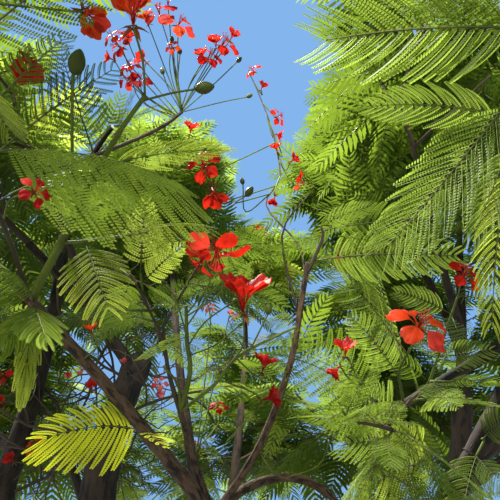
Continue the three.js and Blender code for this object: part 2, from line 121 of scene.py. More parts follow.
SAWN = ("sawn_bough", "right_bough", "hooked_stub")
FULL_LIMBS = ("back_bough", "back_high_limb", "back_right_bough", "back_right_high_limb", "back_left_bough",
              "centre_high_limb", "left_back_limb", "right_side_limb")
# Limbs in the crown's shade: their leaves are dealt darker tints, as painted shade
SHADED = ("high_right_limb", "right_crown_limb", "right_side_limb", "high_left_limb")
LIMB_BEND_STEP = 18
LIMB_LONGEST_STEP = 600
LIMB_START_DEPTH = 0.9

# The rule by which a mass of foliage grows, as in the source
STEM_SHARE, STEM_FOOT, STEM_LIFT, STEM_STEPS = 0.5, 0.96, 22, 2
TWIGS, TWIG_FIRST, TWIG_LENGTH, TWIG_LENGTH_SPREAD = 5, 0.18, 0.59, 0.22
TWIG_OPEN_FIRST, TWIG_OPEN_LAST, TWIG_OPEN_SPREAD, TWIG_ROLL_SPREAD, TWIG_RISE = 74, 30, 12, 40, 0.28
LEAVES, LEAF_FIRST, LEAF_LAST, LEAF_OPEN, LEAF_OPEN_SPREAD, LEAF_ROLL_SPREAD = 5, 0.35, 0.98, 58, 24, 60
LEAF_LEVELLING, LEAF_LENGTH, LEAF_LENGTH_SPREAD, LEAF_LEAN_SPREAD = 0.6, 0.58, 0.14, 80
BLOSSOM_RISE = 0.8
TURN_PER_TWIG, FIRST_SEED, SEED_STEP = 137.5, 101, 37
TIP_GAP, LIMB_CLEAR, MASS_CLEAR = 0.0003, 0.012, 0.006
SPACE_FORWARD, SPACE_RISE = 0.375, 0.12
CROWN_RADIUS, CROWN_MIDDLE, CROWN_TOP, CROWN_FLOOR, CROWN_UNDERSIDE = 3.05, 2.65, 4.95, 1.56, 0.5
VIEWPOINT = np.array([0.1, -2.25, 1.5])
VIEW_TILT = 40
VIEWPOINT_CLEAR = 0.52
SKY_WAYS = ((2, 20, 8), (5, -9, 4.5), (-17, -13, 3.5))

# Photograph: its side, middle and focal length in pixels, and the nearest depth that counts as in sight
PICTURE, MIDDLE, FOCAL = 500, 250, 500
SIGHT_START = 0.05
LOOK = np.array([0, math.cos(math.radians(VIEW_TILT)), math.sin(math.radians(VIEW_TILT))])
LOOK_UP = np.array([0, -math.sin(math.radians(VIEW_TILT)), math.cos(math.radians(VIEW_TILT))])


# Vectors, paths and the seeded rule

def unit(vector):
    return vector / np.linalg.norm(vector)


def seeded(seed):
    state = seed
    while True:
        state = state * 16807 % 2147483647
        yield state / 2147483647


def direction(heading, climb):
    heading, climb = math.radians(heading), math.radians(climb)
    level = math.cos(climb)
    return np.array([math.cos(heading) * level, math.sin(heading) * level, math.sin(climb)])


def path_of(start, heading, climb, turn, lift, length, steps):
    points = [np.array(start)]
    for step in range(steps):
        share = (step + 0.5) / steps
        points.append(points[-1] + direction(heading + turn * share, climb + lift * share) * length / steps)
    return np.array(points)


def point_on(path, share):
    place = min(max(share, 0), 1) * (len(path) - 1)
    index = min(int(place), len(path) - 2)
    return path[index] + (path[index + 1] - path[index]) * (place - index)


def way_along(path, share):
    index = min(int(share * (len(path) - 1)), len(path) - 2)
    return unit(path[index + 1] - path[index])


def upright_for(way):
    return ACROSS if abs(way[2]) > STEEP else UP


def opened(way, roll, angle):
    """A direction opened from this one by an angle, at a roll about it."""
    roll, angle = math.radians(roll), math.radians(angle)
    first = unit(np.cross(way, upright_for(way)))
    second = np.cross(way, first)
    turned = first * math.cos(roll) + second * math.sin(roll)
    return unit(way * math.cos(angle) + turned * math.sin(angle))


def turned_about(vector, axis, degrees):
    return np.array(Matrix.Rotation(math.radians(degrees), 3, Vector(axis)) @ Vector(vector))


def pixel(px, py, depth):
    """The place that a pixel of the photograph shows, this far in front of the viewpoint."""
    return VIEWPOINT + depth * (LOOK + (px - MIDDLE) / FOCAL * ACROSS + (MIDDLE - py) / FOCAL * LOOK_UP)


def pixels_of(points):
    """Where points show in the photograph, and their depth."""
    sight = np.atleast_2d(points) - VIEWPOINT
    depth = sight @ LOOK
    safe = np.where(depth > SIGHT_START, depth, np.nan)
    return MIDDLE + FOCAL * sight[:, 0] / safe, MIDDLE - FOCAL * (sight @ LOOK_UP) / safe, depth


def trunk_centre(height):
    share = height / TRUNK_HEIGHT
    return np.array([TRUNK_LEAN[0] * share ** 2, TRUNK_LEAN[1] * share ** 2, height])


def limb_paths():
    paths = {"trunk": np.array([trunk_centre(share * TRUNK_HEIGHT) for share in (0, 0.25, 0.5, 0.75, 1)])}
    for name, limb in LIMBS.items():
        parent = LIMBS.get(limb.on)
        depth = LIMB_START_DEPTH * parent.tip / parent.length if parent and limb.at == 1 else 0
        steps = max(2, math.ceil((abs(limb.turn) + abs(limb.lift)) / LIMB_BEND_STEP),
                    math.ceil(limb.length / LIMB_LONGEST_STEP))
        start = point_on(paths[limb.on], limb.at - depth)
        paths[name] = path_of(start, limb.heading, limb.climb, limb.turn, limb.lift, limb.length * MM, steps)
    return paths


PATHS = limb_paths()
Mass = namedtuple("Mass", "limb node tip reach middle seed index")


def masses_of():
    carrying = [name for name, limb in LIMBS.items() if limb.leaves]
    masses = []
    for index, name in enumerate(carrying):
        reach = LIMBS[name].leaves * MM
        middle = PATHS[name][-1] + way_along(PATHS[name], 1) * reach * SPACE_FORWARD + UP * reach * SPACE_RISE
        node = name.removesuffix("_limb").removesuffix("_bough") + "_foliage"
        seed = FIRST_SEED + SEED_STEP * index
        masses.append(Mass(name, node, LIMBS[name].tip * MM, reach, middle, seed, index))
    return masses


MASSES = masses_of()
MIDDLES = np.array([mass.middle for mass in MASSES])
STARTS = np.concatenate([PATHS[name][:-1] for name in LIMBS])
STRETCHES = np.concatenate([PATHS[name][1:] for name in LIMBS]) - STARTS
FOOTS, TIPS = [], []
for limb_name, limb_values in LIMBS.items():
    stations = np.linspace(limb_values.foot, limb_values.tip, len(PATHS[limb_name])) * MM
    FOOTS.extend(stations[:-1])
    TIPS.extend(stations[1:])
FOOTS, TIPS = np.array(FOOTS), np.array(TIPS)


def is_in_crown(points):
    level = np.hypot(points[:, 0], points[:, 1]) / CROWN_RADIUS
    above = (points[:, 2] - CROWN_MIDDLE) / (CROWN_TOP - CROWN_MIDDLE)
    below = (CROWN_MIDDLE - points[:, 2]) / (CROWN_MIDDLE - CROWN_FLOOR) * CROWN_UNDERSIDE
    height = np.where(points[:, 2] > CROWN_MIDDLE, above, below)
    return (points[:, 2] > CROWN_FLOOR) & (level ** 2 + height ** 2 < 1)


def sky_way(right, up):
    """The direction from the viewpoint at these angles from the middle of the view."""
    sight = unit(np.array([math.tan(math.radians(right)), 1, math.tan(math.radians(up))]))
    return turned_about(sight, ACROSS, VIEW_TILT)


SKY = [(sky_way(right, up), math.cos(math.radians(wide))) for right, up, wide in SKY_WAYS]


def is_in_open(points):
    """True close round the viewpoint, and in the cones through which it sees the sky."""
    sight = points - VIEWPOINT
    distance = np.linalg.norm(sight, axis=1)
    near = distance < VIEWPOINT_CLEAR
    for way, least in SKY:
        near |= sight @ way / np.maximum(distance, 1e-6) > least
    return near


def is_in_reach(mass, points, room):
    return np.linalg.norm(points - mass.middle, axis=1) + room <= mass.reach


def is_in_space(mass, points, room):
    """True within the mass's reach, in the crown, and on its side of every neighbour."""
    points = np.atleast_2d(points)
    reach = np.linalg.norm(points - mass.middle, axis=1)
    free = (reach + room <= mass.reach) & is_in_crown(points) & ~is_in_open(points)
    apart = np.linalg.norm(MIDDLES - mass.middle, axis=1)
    apart[mass.index] = 1
    squares = ((points[:, None] - MIDDLES[None]) ** 2).sum(axis=2)
    past = (squares - reach[:, None] ** 2) / (2 * apart)
    past[:, mass.index] = np.inf
    return free & (past > room + MASS_CLEAR).all(axis=1)


def is_clear_of_limbs(points, room):
    points = np.atleast_2d(points)
    along = ((points[:, None] - STARTS) * STRETCHES).sum(axis=2) / (STRETCHES ** 2).sum(axis=1)
    along = np.clip(along, 0, 1)
    nearest = STARTS + along[..., None] * STRETCHES
    apart = np.linalg.norm(points[:, None] - nearest, axis=2)
    return (apart > FOOTS + (TIPS - FOOTS) * along + room + LIMB_CLEAR).all(axis=1)


def stem_path(mass):
    way = way_along(PATHS[mass.limb], 1)
    start = PATHS[mass.limb][-1] + way * TIP_GAP
    length = mass.reach * STEM_SHARE
    heading = math.degrees(math.atan2(way[1], way[0]))
    climb = math.degrees(math.asin(way[2]))
    path = path_of(start, heading, climb, 0, STEM_LIFT, length, STEM_STEPS)
    path[1] = start + way * length / STEM_STEPS
    if not (is_in_space(mass, path[2:], mass.tip) & is_clear_of_limbs(path[2:], mass.tip)).all():
        path = path[:2]
    return path


Twig = namedtuple("Twig", "share way path")
Blade = namedtuple("Blade", "root way side length")


def twig_rule(random, mass, stem, twig):
    share = TWIG_FIRST + (1 - TWIG_FIRST) * (twig + 0.5) / TWIGS
    roll = twig * TURN_PER_TWIG + next(random) * TWIG_ROLL_SPREAD
    open_angle = TWIG_OPEN_FIRST + (TWIG_OPEN_LAST - TWIG_OPEN_FIRST) * share
    open_angle += next(random) * TWIG_OPEN_SPREAD
    length = mass.reach * (TWIG_LENGTH + (next(random) - 0.5) * TWIG_LENGTH_SPREAD)
    way = unit(opened(way_along(stem, share), roll, open_angle) + UP * TWIG_RISE)
    foot = point_on(stem, share)
    return Twig(share, way, np.array([foot, foot + way * length]))


def blade_rule(random, mass, twig, leaf):
    share = LEAF_FIRST + (LEAF_LAST - LEAF_FIRST) * leaf / (LEAVES - 1)
    roll = leaf * TURN_PER_TWIG + next(random) * LEAF_ROLL_SPREAD
    open_angle = LEAF_OPEN + (next(random) - 0.5) * LEAF_OPEN_SPREAD
    length = mass.reach * (LEAF_LENGTH + (next(random) - 0.5) * LEAF_LENGTH_SPREAD)
    lean = (next(random) - 0.5) * LEAF_LEAN_SPREAD
    way = opened(twig.way, roll, open_angle)
    way = unit(way * (1, 1, LEAF_LEVELLING))
    return Blade(point_on(twig.path, share), way, side_of(way, lean), length)


def side_of(way, lean):
    level = ACROSS if abs(way[2]) > STEEP else unit(np.cross(UP, way))
    return turned_about(level, way, lean)


# Small shapes kept as arrays, and heaps of their copies that become one mesh

Shape = namedtuple("Shape", "points corners sizes parts")


def shape_of(bm):
    bm.verts.index_update()
    points = np.array([vertex.co[:] for vertex in bm.verts])
    corners = np.array([loop.vert.index for face in bm.faces for loop in face.loops])
    sizes = np.array([len(face.loops) for face in bm.faces])
    parts = np.array([face.material_index for face in bm.faces])
    bm.free()
    return Shape(points, corners, sizes, parts)


def joined(pieces):
    """One shape from pairs of points and shape."""
    offsets = np.cumsum([0] + [len(points) for points, _ in pieces[:-1]])
    return Shape(
        np.concatenate([points for points, _ in pieces]),
        np.concatenate([shape.corners + offset for (_, shape), offset in zip(pieces, offsets)]),
        np.concatenate([shape.sizes for _, shape in pieces]),
        np.concatenate([shape.parts for _, shape in pieces]),
    )


class Heap:
    """Copies of small shapes, kept as arrays until they become one mesh."""

    def __init__(self, materials):
        self.materials = materials
        self.pieces = []
        self.triangles = 0

    def add(self, points, shape, tints):
        """Tints gives a material of the heap for each part of the shape."""
        self.pieces.append((points, shape._replace(parts=np.asarray(tints)[shape.parts])))
        self.triangles += len(shape.corners) - 2 * len(shape.sizes)

    def into_object(self, name):
        whole = joined(self.pieces)
        mesh = bpy.data.meshes.new(name)
        mesh.vertices.add(len(whole.points))
        mesh.vertices.foreach_set("co", whole.points.ravel())
        mesh.loops.add(len(whole.corners))
        mesh.loops.foreach_set("vertex_index", whole.corners)
        mesh.polygons.add(len(whole.sizes))
        mesh.polygons.foreach_set("loop_start", np.concatenate([[0], np.cumsum(whole.sizes)[:-1]]))
        mesh.polygons.foreach_set("material_index", whole.parts)
        for material in self.materials:
            mesh.materials.append(material)
        mesh.update(calc_edges=True)
        return link(mesh, name)


def link(mesh, name):
    piece = bpy.data.objects.new(name, mesh)
    bpy.context.scene.collection.objects.link(piece)
    return piece


def finish_piece(piece, nodes=()):
    """Make a piece ride on the tree, in place of these nodes."""
    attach(piece, "root")
    if nodes:
        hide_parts(*nodes)
    return piece


def frames_along(points):
    """The way along a path at each point, and two ways square to it that never twist."""
    ways = np.gradient(points, axis=0)
    ways /= np.linalg.norm(ways, axis=1)[:, None]
    firsts = [unit(np.cross(ways[0], upright_for(ways[0])))]
    for way in ways[1:]:
        kept = firsts[-1] - way * (firsts[-1] @ way)
        firsts.append(unit(kept))
    firsts = np.array(firsts)
    return ways, firsts, np.cross(ways, firsts)


def rounded(path, count):
    """Points along a smooth curve through a path's points."""
    padded = np.concatenate([[2 * path[0] - path[1]], path, [2 * path[-1] - path[-2]]])
    places = np.linspace(0, len(path) - 1, count)
    index = np.minimum(places.astype(int), len(path) - 2)
    t = (places - index)[:, None]
    a, b, c, d = (padded[index + step] for step in range(4))
    square, cube = 2 * a - 5 * b + 4 * c - d, 3 * b - a - 3 * c + d
    return 0.5 * (2 * b + (c - a) * t + square * t ** 2 + cube * t ** 3)


TUBES = {}


def tube_shape(sides, rings):
    """Faces of a tube with closed ends, in the order of its rings."""
    if (sides, rings) not in TUBES:
        around = np.arange(sides)
        quads = []
        for ring in range(rings - 1):
            low, high = ring * sides, (ring + 1) * sides
            quads.append(np.stack([low + around, low + (around + 1) % sides,
                                   high + (around + 1) % sides, high + around], axis=1))
        quads = np.concatenate(quads)
        corners = np.concatenate([quads.ravel(), around[::-1], (rings - 1) * sides + around])
        sizes = np.array([4] * len(quads) + [sides, sides])
        TUBES[sides, rings] = Shape(None, corners, sizes, np.zeros(len(sizes), int))
    return TUBES[sides, rings]


def add_tube(heap, points, radii, sides, tint):
    """A closed tube through points, its radius going from the first to the last of radii."""
    ways, firsts, seconds = frames_along(points)
    angles = np.arange(sides) * 2 * math.pi / sides
    cosines, sines = np.cos(angles)[None, :, None], np.sin(angles)[None, :, None]
    rings = firsts[:, None] * cosines + seconds[:, None] * sines
    radii = np.interp(np.linspace(0, 1, len(points)), np.linspace(0, 1, len(radii)), radii)
    placed = points[:, None] + rings * radii[:, None, None]
    heap.add(placed.reshape(-1, 3), tube_shape(sides, len(points)), [tint])


# Leaves: a stalk with pairs of side stalks, each with pairs of leaflets

# Pairs of side stalks, their reach as a share of the leaf, their sweep at its foot and tip in degrees,
# pairs of leaflets, the leaflets' corners, their reach as a share of the side stalk, their half-width as
# a share of the space between two, their droop, and the steps of a stalk
Grade = namedtuple("Grade", "pairs reach sweep_foot sweep_tip leaflets leaflet_sides spread wide fold "
                            "stalk_rings")
GRADES = {
    "fine": Grade(14, 0.275, 74, 42, 16, 6, 0.105, 0.38, 0.25, 7),
    "plain": Grade(13, 0.275, 74, 42, 8, 4, 0.115, 0.6, 0.2, 5),
    "far": Grade(12, 0.275, 72, 42, 0, 0, 0, 0, 0, 3),
}
# Parts of a leaf next to its leaflets
RIB_PART, STALK_PART = 1, 2
# Spread and width of the leaflets of placed leaves, and of the bright yellow ones
PLACED_SPREAD, PLACED_WIDE, PLACED_SIDES, PLACED_RINGS = 0.095, 0.4, 6, 9
LIT_YELLOW_SPREAD, LIT_YELLOW_WIDE = 0.125, 0.52
# A side stalk without leaflets is a blade: its half-widths at foot, middle and tip, and its sag
BLADE_HALF_WIDTHS, BLADE_SAG = (0.066, 0.1, 0.03), 0.06
# A side stalk with leaflets: the stretch that bears them, in degrees how far they open at its foot and how
# much less at its tip, how much shorter the outer ones are, and how far from its middle they root
LEAFY_START, LEAFY_STRETCH = 0.02, 0.97
LEAFLET_OPEN, LEAFLET_CLOSING, LEAFLET_SHORTENING, LEAFLET_ROOT = 72, 26, 0.45, 0.004
# The side stalk itself: its radii, length and corners
RIB_RADII, RIB_LENGTH, RIB_SIDES = (0.0065, 0.0035), 0.98, 3
# A leaf: the stretch of its stalk that bears side stalks, the stalk's radii and sideways bend, the wander of
# the side stalks' sweep in degrees, of their length and of their twist in radians, and their curve and rise
PAIRS_START, PAIRS_STRETCH = 0.16, 0.83
STALK_RADII, STALK_BEND = (0.0075, 0.003), 0.12
SWEEP_WANDER, SIZE_LEAST, SIZE_WANDER, TWIST_WANDER = 9, 0.93, 0.14, 0.5
SIDE_CURVE, SIDE_RISE = 0.22, 0.05
# How far out the sag of a leaf's sides is measured, as a share of its length
SAG_AT = 0.25


def side_leaf_shape(grade):
    """A side stalk with its leaflets along +X, of unit length."""
    bm = bmesh.new()
    if grade.leaflets == 0:
        bmesh.ops.create_grid(bm, x_segments=2, y_segments=1, size=0.5)
        for vertex in bm.verts:
            step = round((vertex.co.x + 0.5) * 2)
            half = math.copysign(BLADE_HALF_WIDTHS[step], vertex.co.y)
            vertex.co = (step / 2, half, -BLADE_SAG * (step / 2) ** 2)
        return shape_of(bm)
    spacing = LEAFY_STRETCH / grade.leaflets
    for index in range(grade.leaflets):
        share = (index + 0.6) * spacing + LEAFY_START
        reach = grade.spread * (1 - LEAFLET_SHORTENING * abs(2 * share - 0.9) ** 2.2)
        for side in (1, -1):
            angle = side * math.radians(LEAFLET_OPEN - LEAFLET_CLOSING * share ** 3)
            root = Vector((share, side * LEAFLET_ROOT, 0))
            place = Matrix.Translation(root) @ Matrix.Rotation(angle, 4, "Z")
            place = place @ Matrix.Rotation(grade.fold, 4, "Y") @ Matrix.Translation((reach / 2, 0, 0))
            scale = Matrix.Diagonal((reach / 2, spacing * grade.wide, 1, 1))
            bmesh.ops.create_circle(bm, cap_ends=True, segments=grade.leaflet_sides, radius=1,
                                    matrix=place @ scale @ Matrix.Rotation(math.radians(90), 4, "Z"))
    rib = Matrix.Translation((0.5, 0, 0)) @ Matrix.Rotation(math.radians(90), 4, "Y")
    mark_part(bmesh.ops.create_cone(bm, segments=RIB_SIDES, radius1=RIB_RADII[0], radius2=RIB_RADII[1],
                                    depth=RIB_LENGTH, matrix=rib), RIB_PART)
    return shape_of(bm)


def leaf_shape(grade, seed):
    """A whole leaf along +X, of unit length, face up."""
    random = seeded(seed)
    side_leaf = side_leaf_shape(grade)
    stalk = Heap([])
    bend = (next(random) - 0.5) * STALK_BEND
    line = np.array([[x, bend * x * (1 - x), 0] for x in np.linspace(0, 1, grade.stalk_rings)])
    add_tube(stalk, line, STALK_RADII, RIB_SIDES, 0)
    points, shape = stalk.pieces[0]
    pieces = [(points, shape._replace(parts=np.full(len(shape.sizes), STALK_PART)))]
    for index in range(grade.pairs):
        share = PAIRS_START + PAIRS_STRETCH * index / (grade.pairs - 1)
        swell = 0.62 + 0.38 * math.sin(math.pi * min(1, 0.18 + share * 0.78))
        reach = grade.reach * swell * (1 - 0.35 * share ** 5)
        sweep = grade.sweep_foot + (grade.sweep_tip - grade.sweep_foot) * share ** 2
        for side in (1, -1):
            angle = side * math.radians(sweep + (next(random) - 0.5) * SWEEP_WANDER)
            size = reach * (SIZE_LEAST + SIZE_WANDER * next(random))
            twist = (next(random) - 0.5) * TWIST_WANDER
            x, y, z = (side_leaf.points * size).T
            y, z = y * math.cos(twist) - z * math.sin(twist), y * math.sin(twist) + z * math.cos(twist)
            y = y - side * SIDE_CURVE * x * x / reach
            placed = np.stack([
                share + x * math.cos(angle) - y * math.sin(angle),
                bend * share * (1 - share) + x * math.sin(angle) + y * math.cos(angle),
                z + SIDE_RISE * x,
            ], axis=1)
            pieces.append((placed, side_leaf))
    return joined(pieces)


def add_leaf(heap, shape, root, way, side, length, arch, sag, tints, drop=0):
    """Arch bends a leaf down along its length and sag its sides, as shares of its length, and drop folds its
    two rows down in degrees."""
    face = np.cross(way, side)
    x, y, z = shape.points.T
    lower = math.copysign(math.sin(math.radians(drop)), face[2])
    y, z = y * math.cos(math.radians(drop)), z - np.abs(y) * lower
    placed = root + length * (x[:, None] * way + y[:, None] * side + z[:, None] * face)
    placed -= UP * (length * (arch * x ** 2 + sag * (np.abs(y) / SAG_AT) ** 1.6))[:, None]
    heap.add(placed, shape, tints)


# Blossom

PETAL, STANDARD, SEPAL, STAMEN = 0, 1, 2, 3
PETALS = 5
# A petal of unit length: how much of it is its narrow claw, and the half-widths of claw and blade
CLAW, CLAW_HALF, PETAL_HALF = 0.4, 0.022, 0.32
# A sepal's place, length, half-widths at foot and tip, and droop
SEPAL_PLACE, SEPAL_LENGTH, SEPAL_HALF, SEPAL_TIP, SEPAL_DROP = 0.04, 0.36, 0.075, 0.004, 0.2
STAMEN_TURN, STAMEN_RADII = 2.4, (0.012, 0.008, 0.018)


def mark_part(grid, part):
    """Give the faces that an operator made to a part of the shape."""
    for face in {face for vertex in grid["verts"] for face in vertex.link_faces}:
        face.material_index = part


def petal_into(bm, turn, part, fineness, seed, lift, bend):
    """A petal with a rippled edge, its lift and how far it bends back in degrees."""
    random = seeded(seed)
    grid = bmesh.ops.create_grid(bm, x_segments=fineness, y_segments=fineness, size=0.5)
    phase, spread = next(random) * 6, (next(random) - 0.5) * 18
    turn_matrix = Matrix.Rotation(math.radians(turn), 3, "Z")
    for vertex in grid["verts"]:
        along, across = vertex.co.x + 0.5, vertex.co.y * 2
        blade = max(0, (along - CLAW) / (1 - CLAW))
        half = CLAW_HALF + PETAL_HALF * math.sin(math.pi * min(1, blade * 0.66)) ** 0.9
        reach = along * (1 - 0.24 * across ** 2 * blade + 0.05 * math.sin(6 * across + phase) * blade)
        ripple = (0.045 * math.sin(8 * across + phase) + 0.09 * abs(across)) * blade
        tilt = math.radians(lift + spread - bend * along ** 1.5)
        rise = Vector((-math.sin(tilt), 0, math.cos(tilt))) * ripple
        place = Vector((reach * math.cos(tilt), across * half, reach * math.sin(tilt))) + rise
        vertex.co = turn_matrix @ place
    mark_part(grid, part)


def flower_shape(fineness, seed, lift=30, bend=38):
    """A flower with petals of unit length that faces +Z: four petals, a standard, sepals and stamens."""
    bm = bmesh.new()
    random = seeded(seed)
    step = 360 / PETALS
    for index in range(PETALS):
        part = STANDARD if index == 0 else PETAL
        petal_into(bm, index * step + (next(random) - 0.5) * 16, part, fineness, seed + 7 * index, lift, bend)
    for index in range(PETALS):
        grid = bmesh.ops.create_grid(bm, x_segments=2, y_segments=1, size=0.5)
        matrix = Matrix.Rotation(math.radians((index + 0.5) * step), 3, "Z")
        for vertex in grid["verts"]:
            along, across = vertex.co.x + 0.5, vertex.co.y * 2
            half = SEPAL_HALF * (1 - along ** 2) + SEPAL_TIP
            vertex.co = matrix @ Vector((SEPAL_PLACE + along * SEPAL_LENGTH, across * half,
                                         -0.02 - SEPAL_DROP * along ** 1.6))
        mark_part(grid, SEPAL)
    body = shape_of(bm)
    stamens = Heap([])
    for index in range(10 if fineness > 4 else 6):
        angle = index * STAMEN_TURN
        spread = 0.1 + 0.2 * next(random)
        top = np.array([math.cos(angle) * spread + 0.12, math.sin(angle) * spread, 0.6 + 0.12 * next(random)])
        line = rounded(np.array([[0, 0, -0.03], top * (0.4, 0.4, 0.55), top]), 3)
        add_tube(stamens, line, STAMEN_RADII, 3, 0)
    pieces = [(body.points, body)]
    for points, shape in stamens.pieces:
        pieces.append((points, shape._replace(parts=np.full(len(shape.sizes), STAMEN))))
    return joined(pieces)


def bud_shape(fineness):
    """A bud along +Z, of unit length, with its foot at the origin."""
    bm = bmesh.new()
    bmesh.ops.create_uvsphere(bm, u_segments=fineness + 2, v_segments=fineness, radius=0.5)
    for vertex in bm.verts:
        share = vertex.co.z + 0.5
        swell = 0.82 - 0.3 * share ** 3 + 0.12 * math.sin(math.pi * share)
        vertex.co = (vertex.co.x * swell * 0.72, vertex.co.y * swell * 0.72, share)
    return shape_of(bm)


def add_turned(heap, shape, root, way, size, roll, tints):
    """A copy of a shape whose +Z points this way, rolled about it."""
    first = turned_about(unit(np.cross(way, upright_for(way))), way, roll)
    second = np.cross(way, first)
    x, y, z = shape.points.T
    placed = root + size * (x[:, None] * first + y[:, None] * second + z[:, None] * way)
    heap.add(placed, shape, tints)


# Finishes

def node(tree, kind, settings=None, **inputs):
    """A node with these settings, its named inputs linked or set. An underscore stands for a space."""
    made = tree.nodes.new(kind)
    for name, value in (settings or {}).items():
        setattr(made, name, value)
    for name, value in inputs.items():
        socket = made.inputs[name.replace("_", " ")]
        if isinstance(value, bpy.types.NodeSocket):
            tree.links.new(value, socket)
        else:
            socket.default_value = value
    return made


def new_finish(name):
    finish = bpy.data.materials.new(name)
    finish.use_nodes = True
    finish.node_tree.nodes.clear()
    return finish, finish.node_tree


def rgba(colour):
    return (*colour[:3], 1)


def ramp(tree, factor, stops):
    """Colours from pairs of place and colour along a factor."""
    made = node(tree, "ShaderNodeValToRGB", Fac=factor)
    elements = made.color_ramp.elements
    while len(elements) < len(stops):
        elements.new(0.5)
    for element, (place, colour) in zip(elements, stops):
        element.position = place
        element.color = rgba(colour)
    return made.outputs["Color"]


# Sockets of a Mix node that mixes colours
MIX_FACTOR, MIX_FIRST, MIX_SECOND, MIX_RESULT = 0, 6, 7, 2


def blend(tree, factor, first, second):
    made = node(tree, "ShaderNodeMix", {"data_type": "RGBA"})
    for place, value in ((MIX_FACTOR, factor), (MIX_FIRST, first), (MIX_SECOND, second)):
        socket = made.inputs[place]
        if isinstance(value, bpy.types.NodeSocket):
            tree.links.new(value, socket)
        else:
            socket.default_value = value if isinstance(value, (int, float)) else rgba(value)
    return made.outputs[MIX_RESULT]


def darker(colour, share):
    return tuple(share * part for part in colour)


def thin_finish(name, light, dark, glow, share, roughness=0.5, scale=14, fine=220, dim=0.72):
    """A leaf, petal or soft stalk. A share of the light comes through as glow, in places only dim of it."""
    finish, tree = new_finish(name)
    place = node(tree, "ShaderNodeTexCoord").outputs["Object"]
    wander = node(tree, "ShaderNodeTexNoise", Vector=place, Scale=scale, Detail=3.0).outputs["Fac"]
    grain = node(tree, "ShaderNodeTexNoise", Vector=place, Scale=fine, Detail=2.0).outputs["Fac"]
    spread = ramp(tree, wander, ((0.36, dark), (0.64, light)))
    colour = blend(tree, 0.35, spread, ramp(tree, grain, ((0.3, dark), (0.7, light))))
    bump = node(tree, "ShaderNodeBump", Height=grain, Strength=0.25, Distance=0.002).outputs["Normal"]
    front = node(tree, "ShaderNodeBsdfPrincipled", Base_Color=colour, Roughness=roughness,
                 Specular_IOR_Level=0.18, Normal=bump)
    through = ramp(tree, wander, ((0.3, darker(glow, dim)), (0.7, glow)))
    behind = node(tree, "ShaderNodeBsdfTranslucent", Color=through, Normal=bump)
    mixed = node(tree, "ShaderNodeMixShader", Fac=share)
    tree.links.new(front.outputs[0], mixed.inputs[1])
    tree.links.new(behind.outputs[0], mixed.inputs[2])
    node(tree, "ShaderNodeOutputMaterial", Surface=mixed.outputs[0])
    finish.diffuse_color = rgba(light)
    return finish


def bark_finish(name, groove, ridge, lichen, lichen_share, streak):
    """Bark with streaks along the limb, raised pores, and a share of pale crust in patches."""
    finish, tree = new_finish(name)
    grain = node(tree, "ShaderNodeAttribute", {"attribute_name": "grain"}).outputs["Vector"]
    place = node(tree, "ShaderNodeTexCoord").outputs["Object"]
    streaks = node(tree, "ShaderNodeTexNoise", Vector=grain, Scale=streak, Detail=6.0, Roughness=0.62)
    patches = node(tree, "ShaderNodeTexNoise", Vector=place, Scale=11.0, Detail=4.0)
    spots = node(tree, "ShaderNodeTexVoronoi", Vector=grain, Scale=streak * 1.6)
    dots = ramp(tree, spots.outputs["Distance"], ((0.06, (1, 1, 1)), (0.2, (0, 0, 0))))
    wood = ramp(tree, streaks.outputs["Fac"], ((0.42, groove), (0.5, ridge), (0.64, lichen)))
    crust = ramp(tree, patches.outputs["Fac"], ((0.5, (0, 0, 0)), (0.66, (lichen_share,) * 3)))
    pore = tuple(0.55 * part + 0.4 * other for part, other in zip(ridge, lichen))
    colour = blend(tree, dots, blend(tree, crust, wood, lichen), pore)
    height = blend(tree, 0.35, streaks.outputs["Fac"], dots)
    bump = node(tree, "ShaderNodeBump", Height=height, Strength=1.0, Distance=0.007).outputs["Normal"]
    shade = node(tree, "ShaderNodeBsdfPrincipled", Base_Color=colour, Roughness=0.88, Normal=bump)
    node(tree, "ShaderNodeOutputMaterial", Surface=shade.outputs[0])
    finish.diffuse_color = rgba(ridge)
    return finish


def cut_finish(name, pale, dark):
    """Weathered end grain: rings and cracks."""
    finish, tree = new_finish(name)
    grain = node(tree, "ShaderNodeAttribute", {"attribute_name": "grain"}).outputs["Vector"]
    rings = node(tree, "ShaderNodeTexWave", {"wave_type": "RINGS", "rings_direction": "Z"},
                 Vector=grain, Scale=70.0, Distortion=3.0, Detail=3.0, Detail_Scale=1.5).outputs["Fac"]
    cracks = node(tree, "ShaderNodeTexNoise", Vector=grain, Scale=60.0, Detail=5.0).outputs["Fac"]
    colour = blend(tree, 0.5, ramp(tree, rings, ((0.2, dark), (0.7, pale))),
                   ramp(tree, cracks, ((0.35, dark), (0.6, pale))))
    bump = node(tree, "ShaderNodeBump", Height=rings, Strength=0.4, Distance=0.002).outputs["Normal"]
    shade = node(tree, "ShaderNodeBsdfPrincipled", Base_Color=colour, Roughness=0.8, Normal=bump)
    node(tree, "ShaderNodeOutputMaterial", Surface=shade.outputs[0])
    finish.diffuse_color = rgba(pale)
    return finish


# Bark

# Relief: how fine each layer of noise is round a limb and along it, and its share of the depth
RELIEF_LAYERS = ((1.1, 9, 1), (3.6, 16, 0.7), (9, 60, 0.25))
# Lumps: one for each stretch of a limb, their height with its spread and their length as shares of the
# radius, how narrow they are round the limb, and where they end
LUMP_SPACING, LUMP_HEIGHT, LUMP_HEIGHT_SPREAD = 0.16, 0.1, 0.16
LUMP_LENGTH, LUMP_NARROWING, LUMP_END = 0.9, 2.2, 2.5
# A limb's collar, as shares of its radius, and how much longer its grain is than it is wide
COLLAR, COLLAR_LENGTH, GRAIN_STRETCH = 0.3, 1.3, 0.3
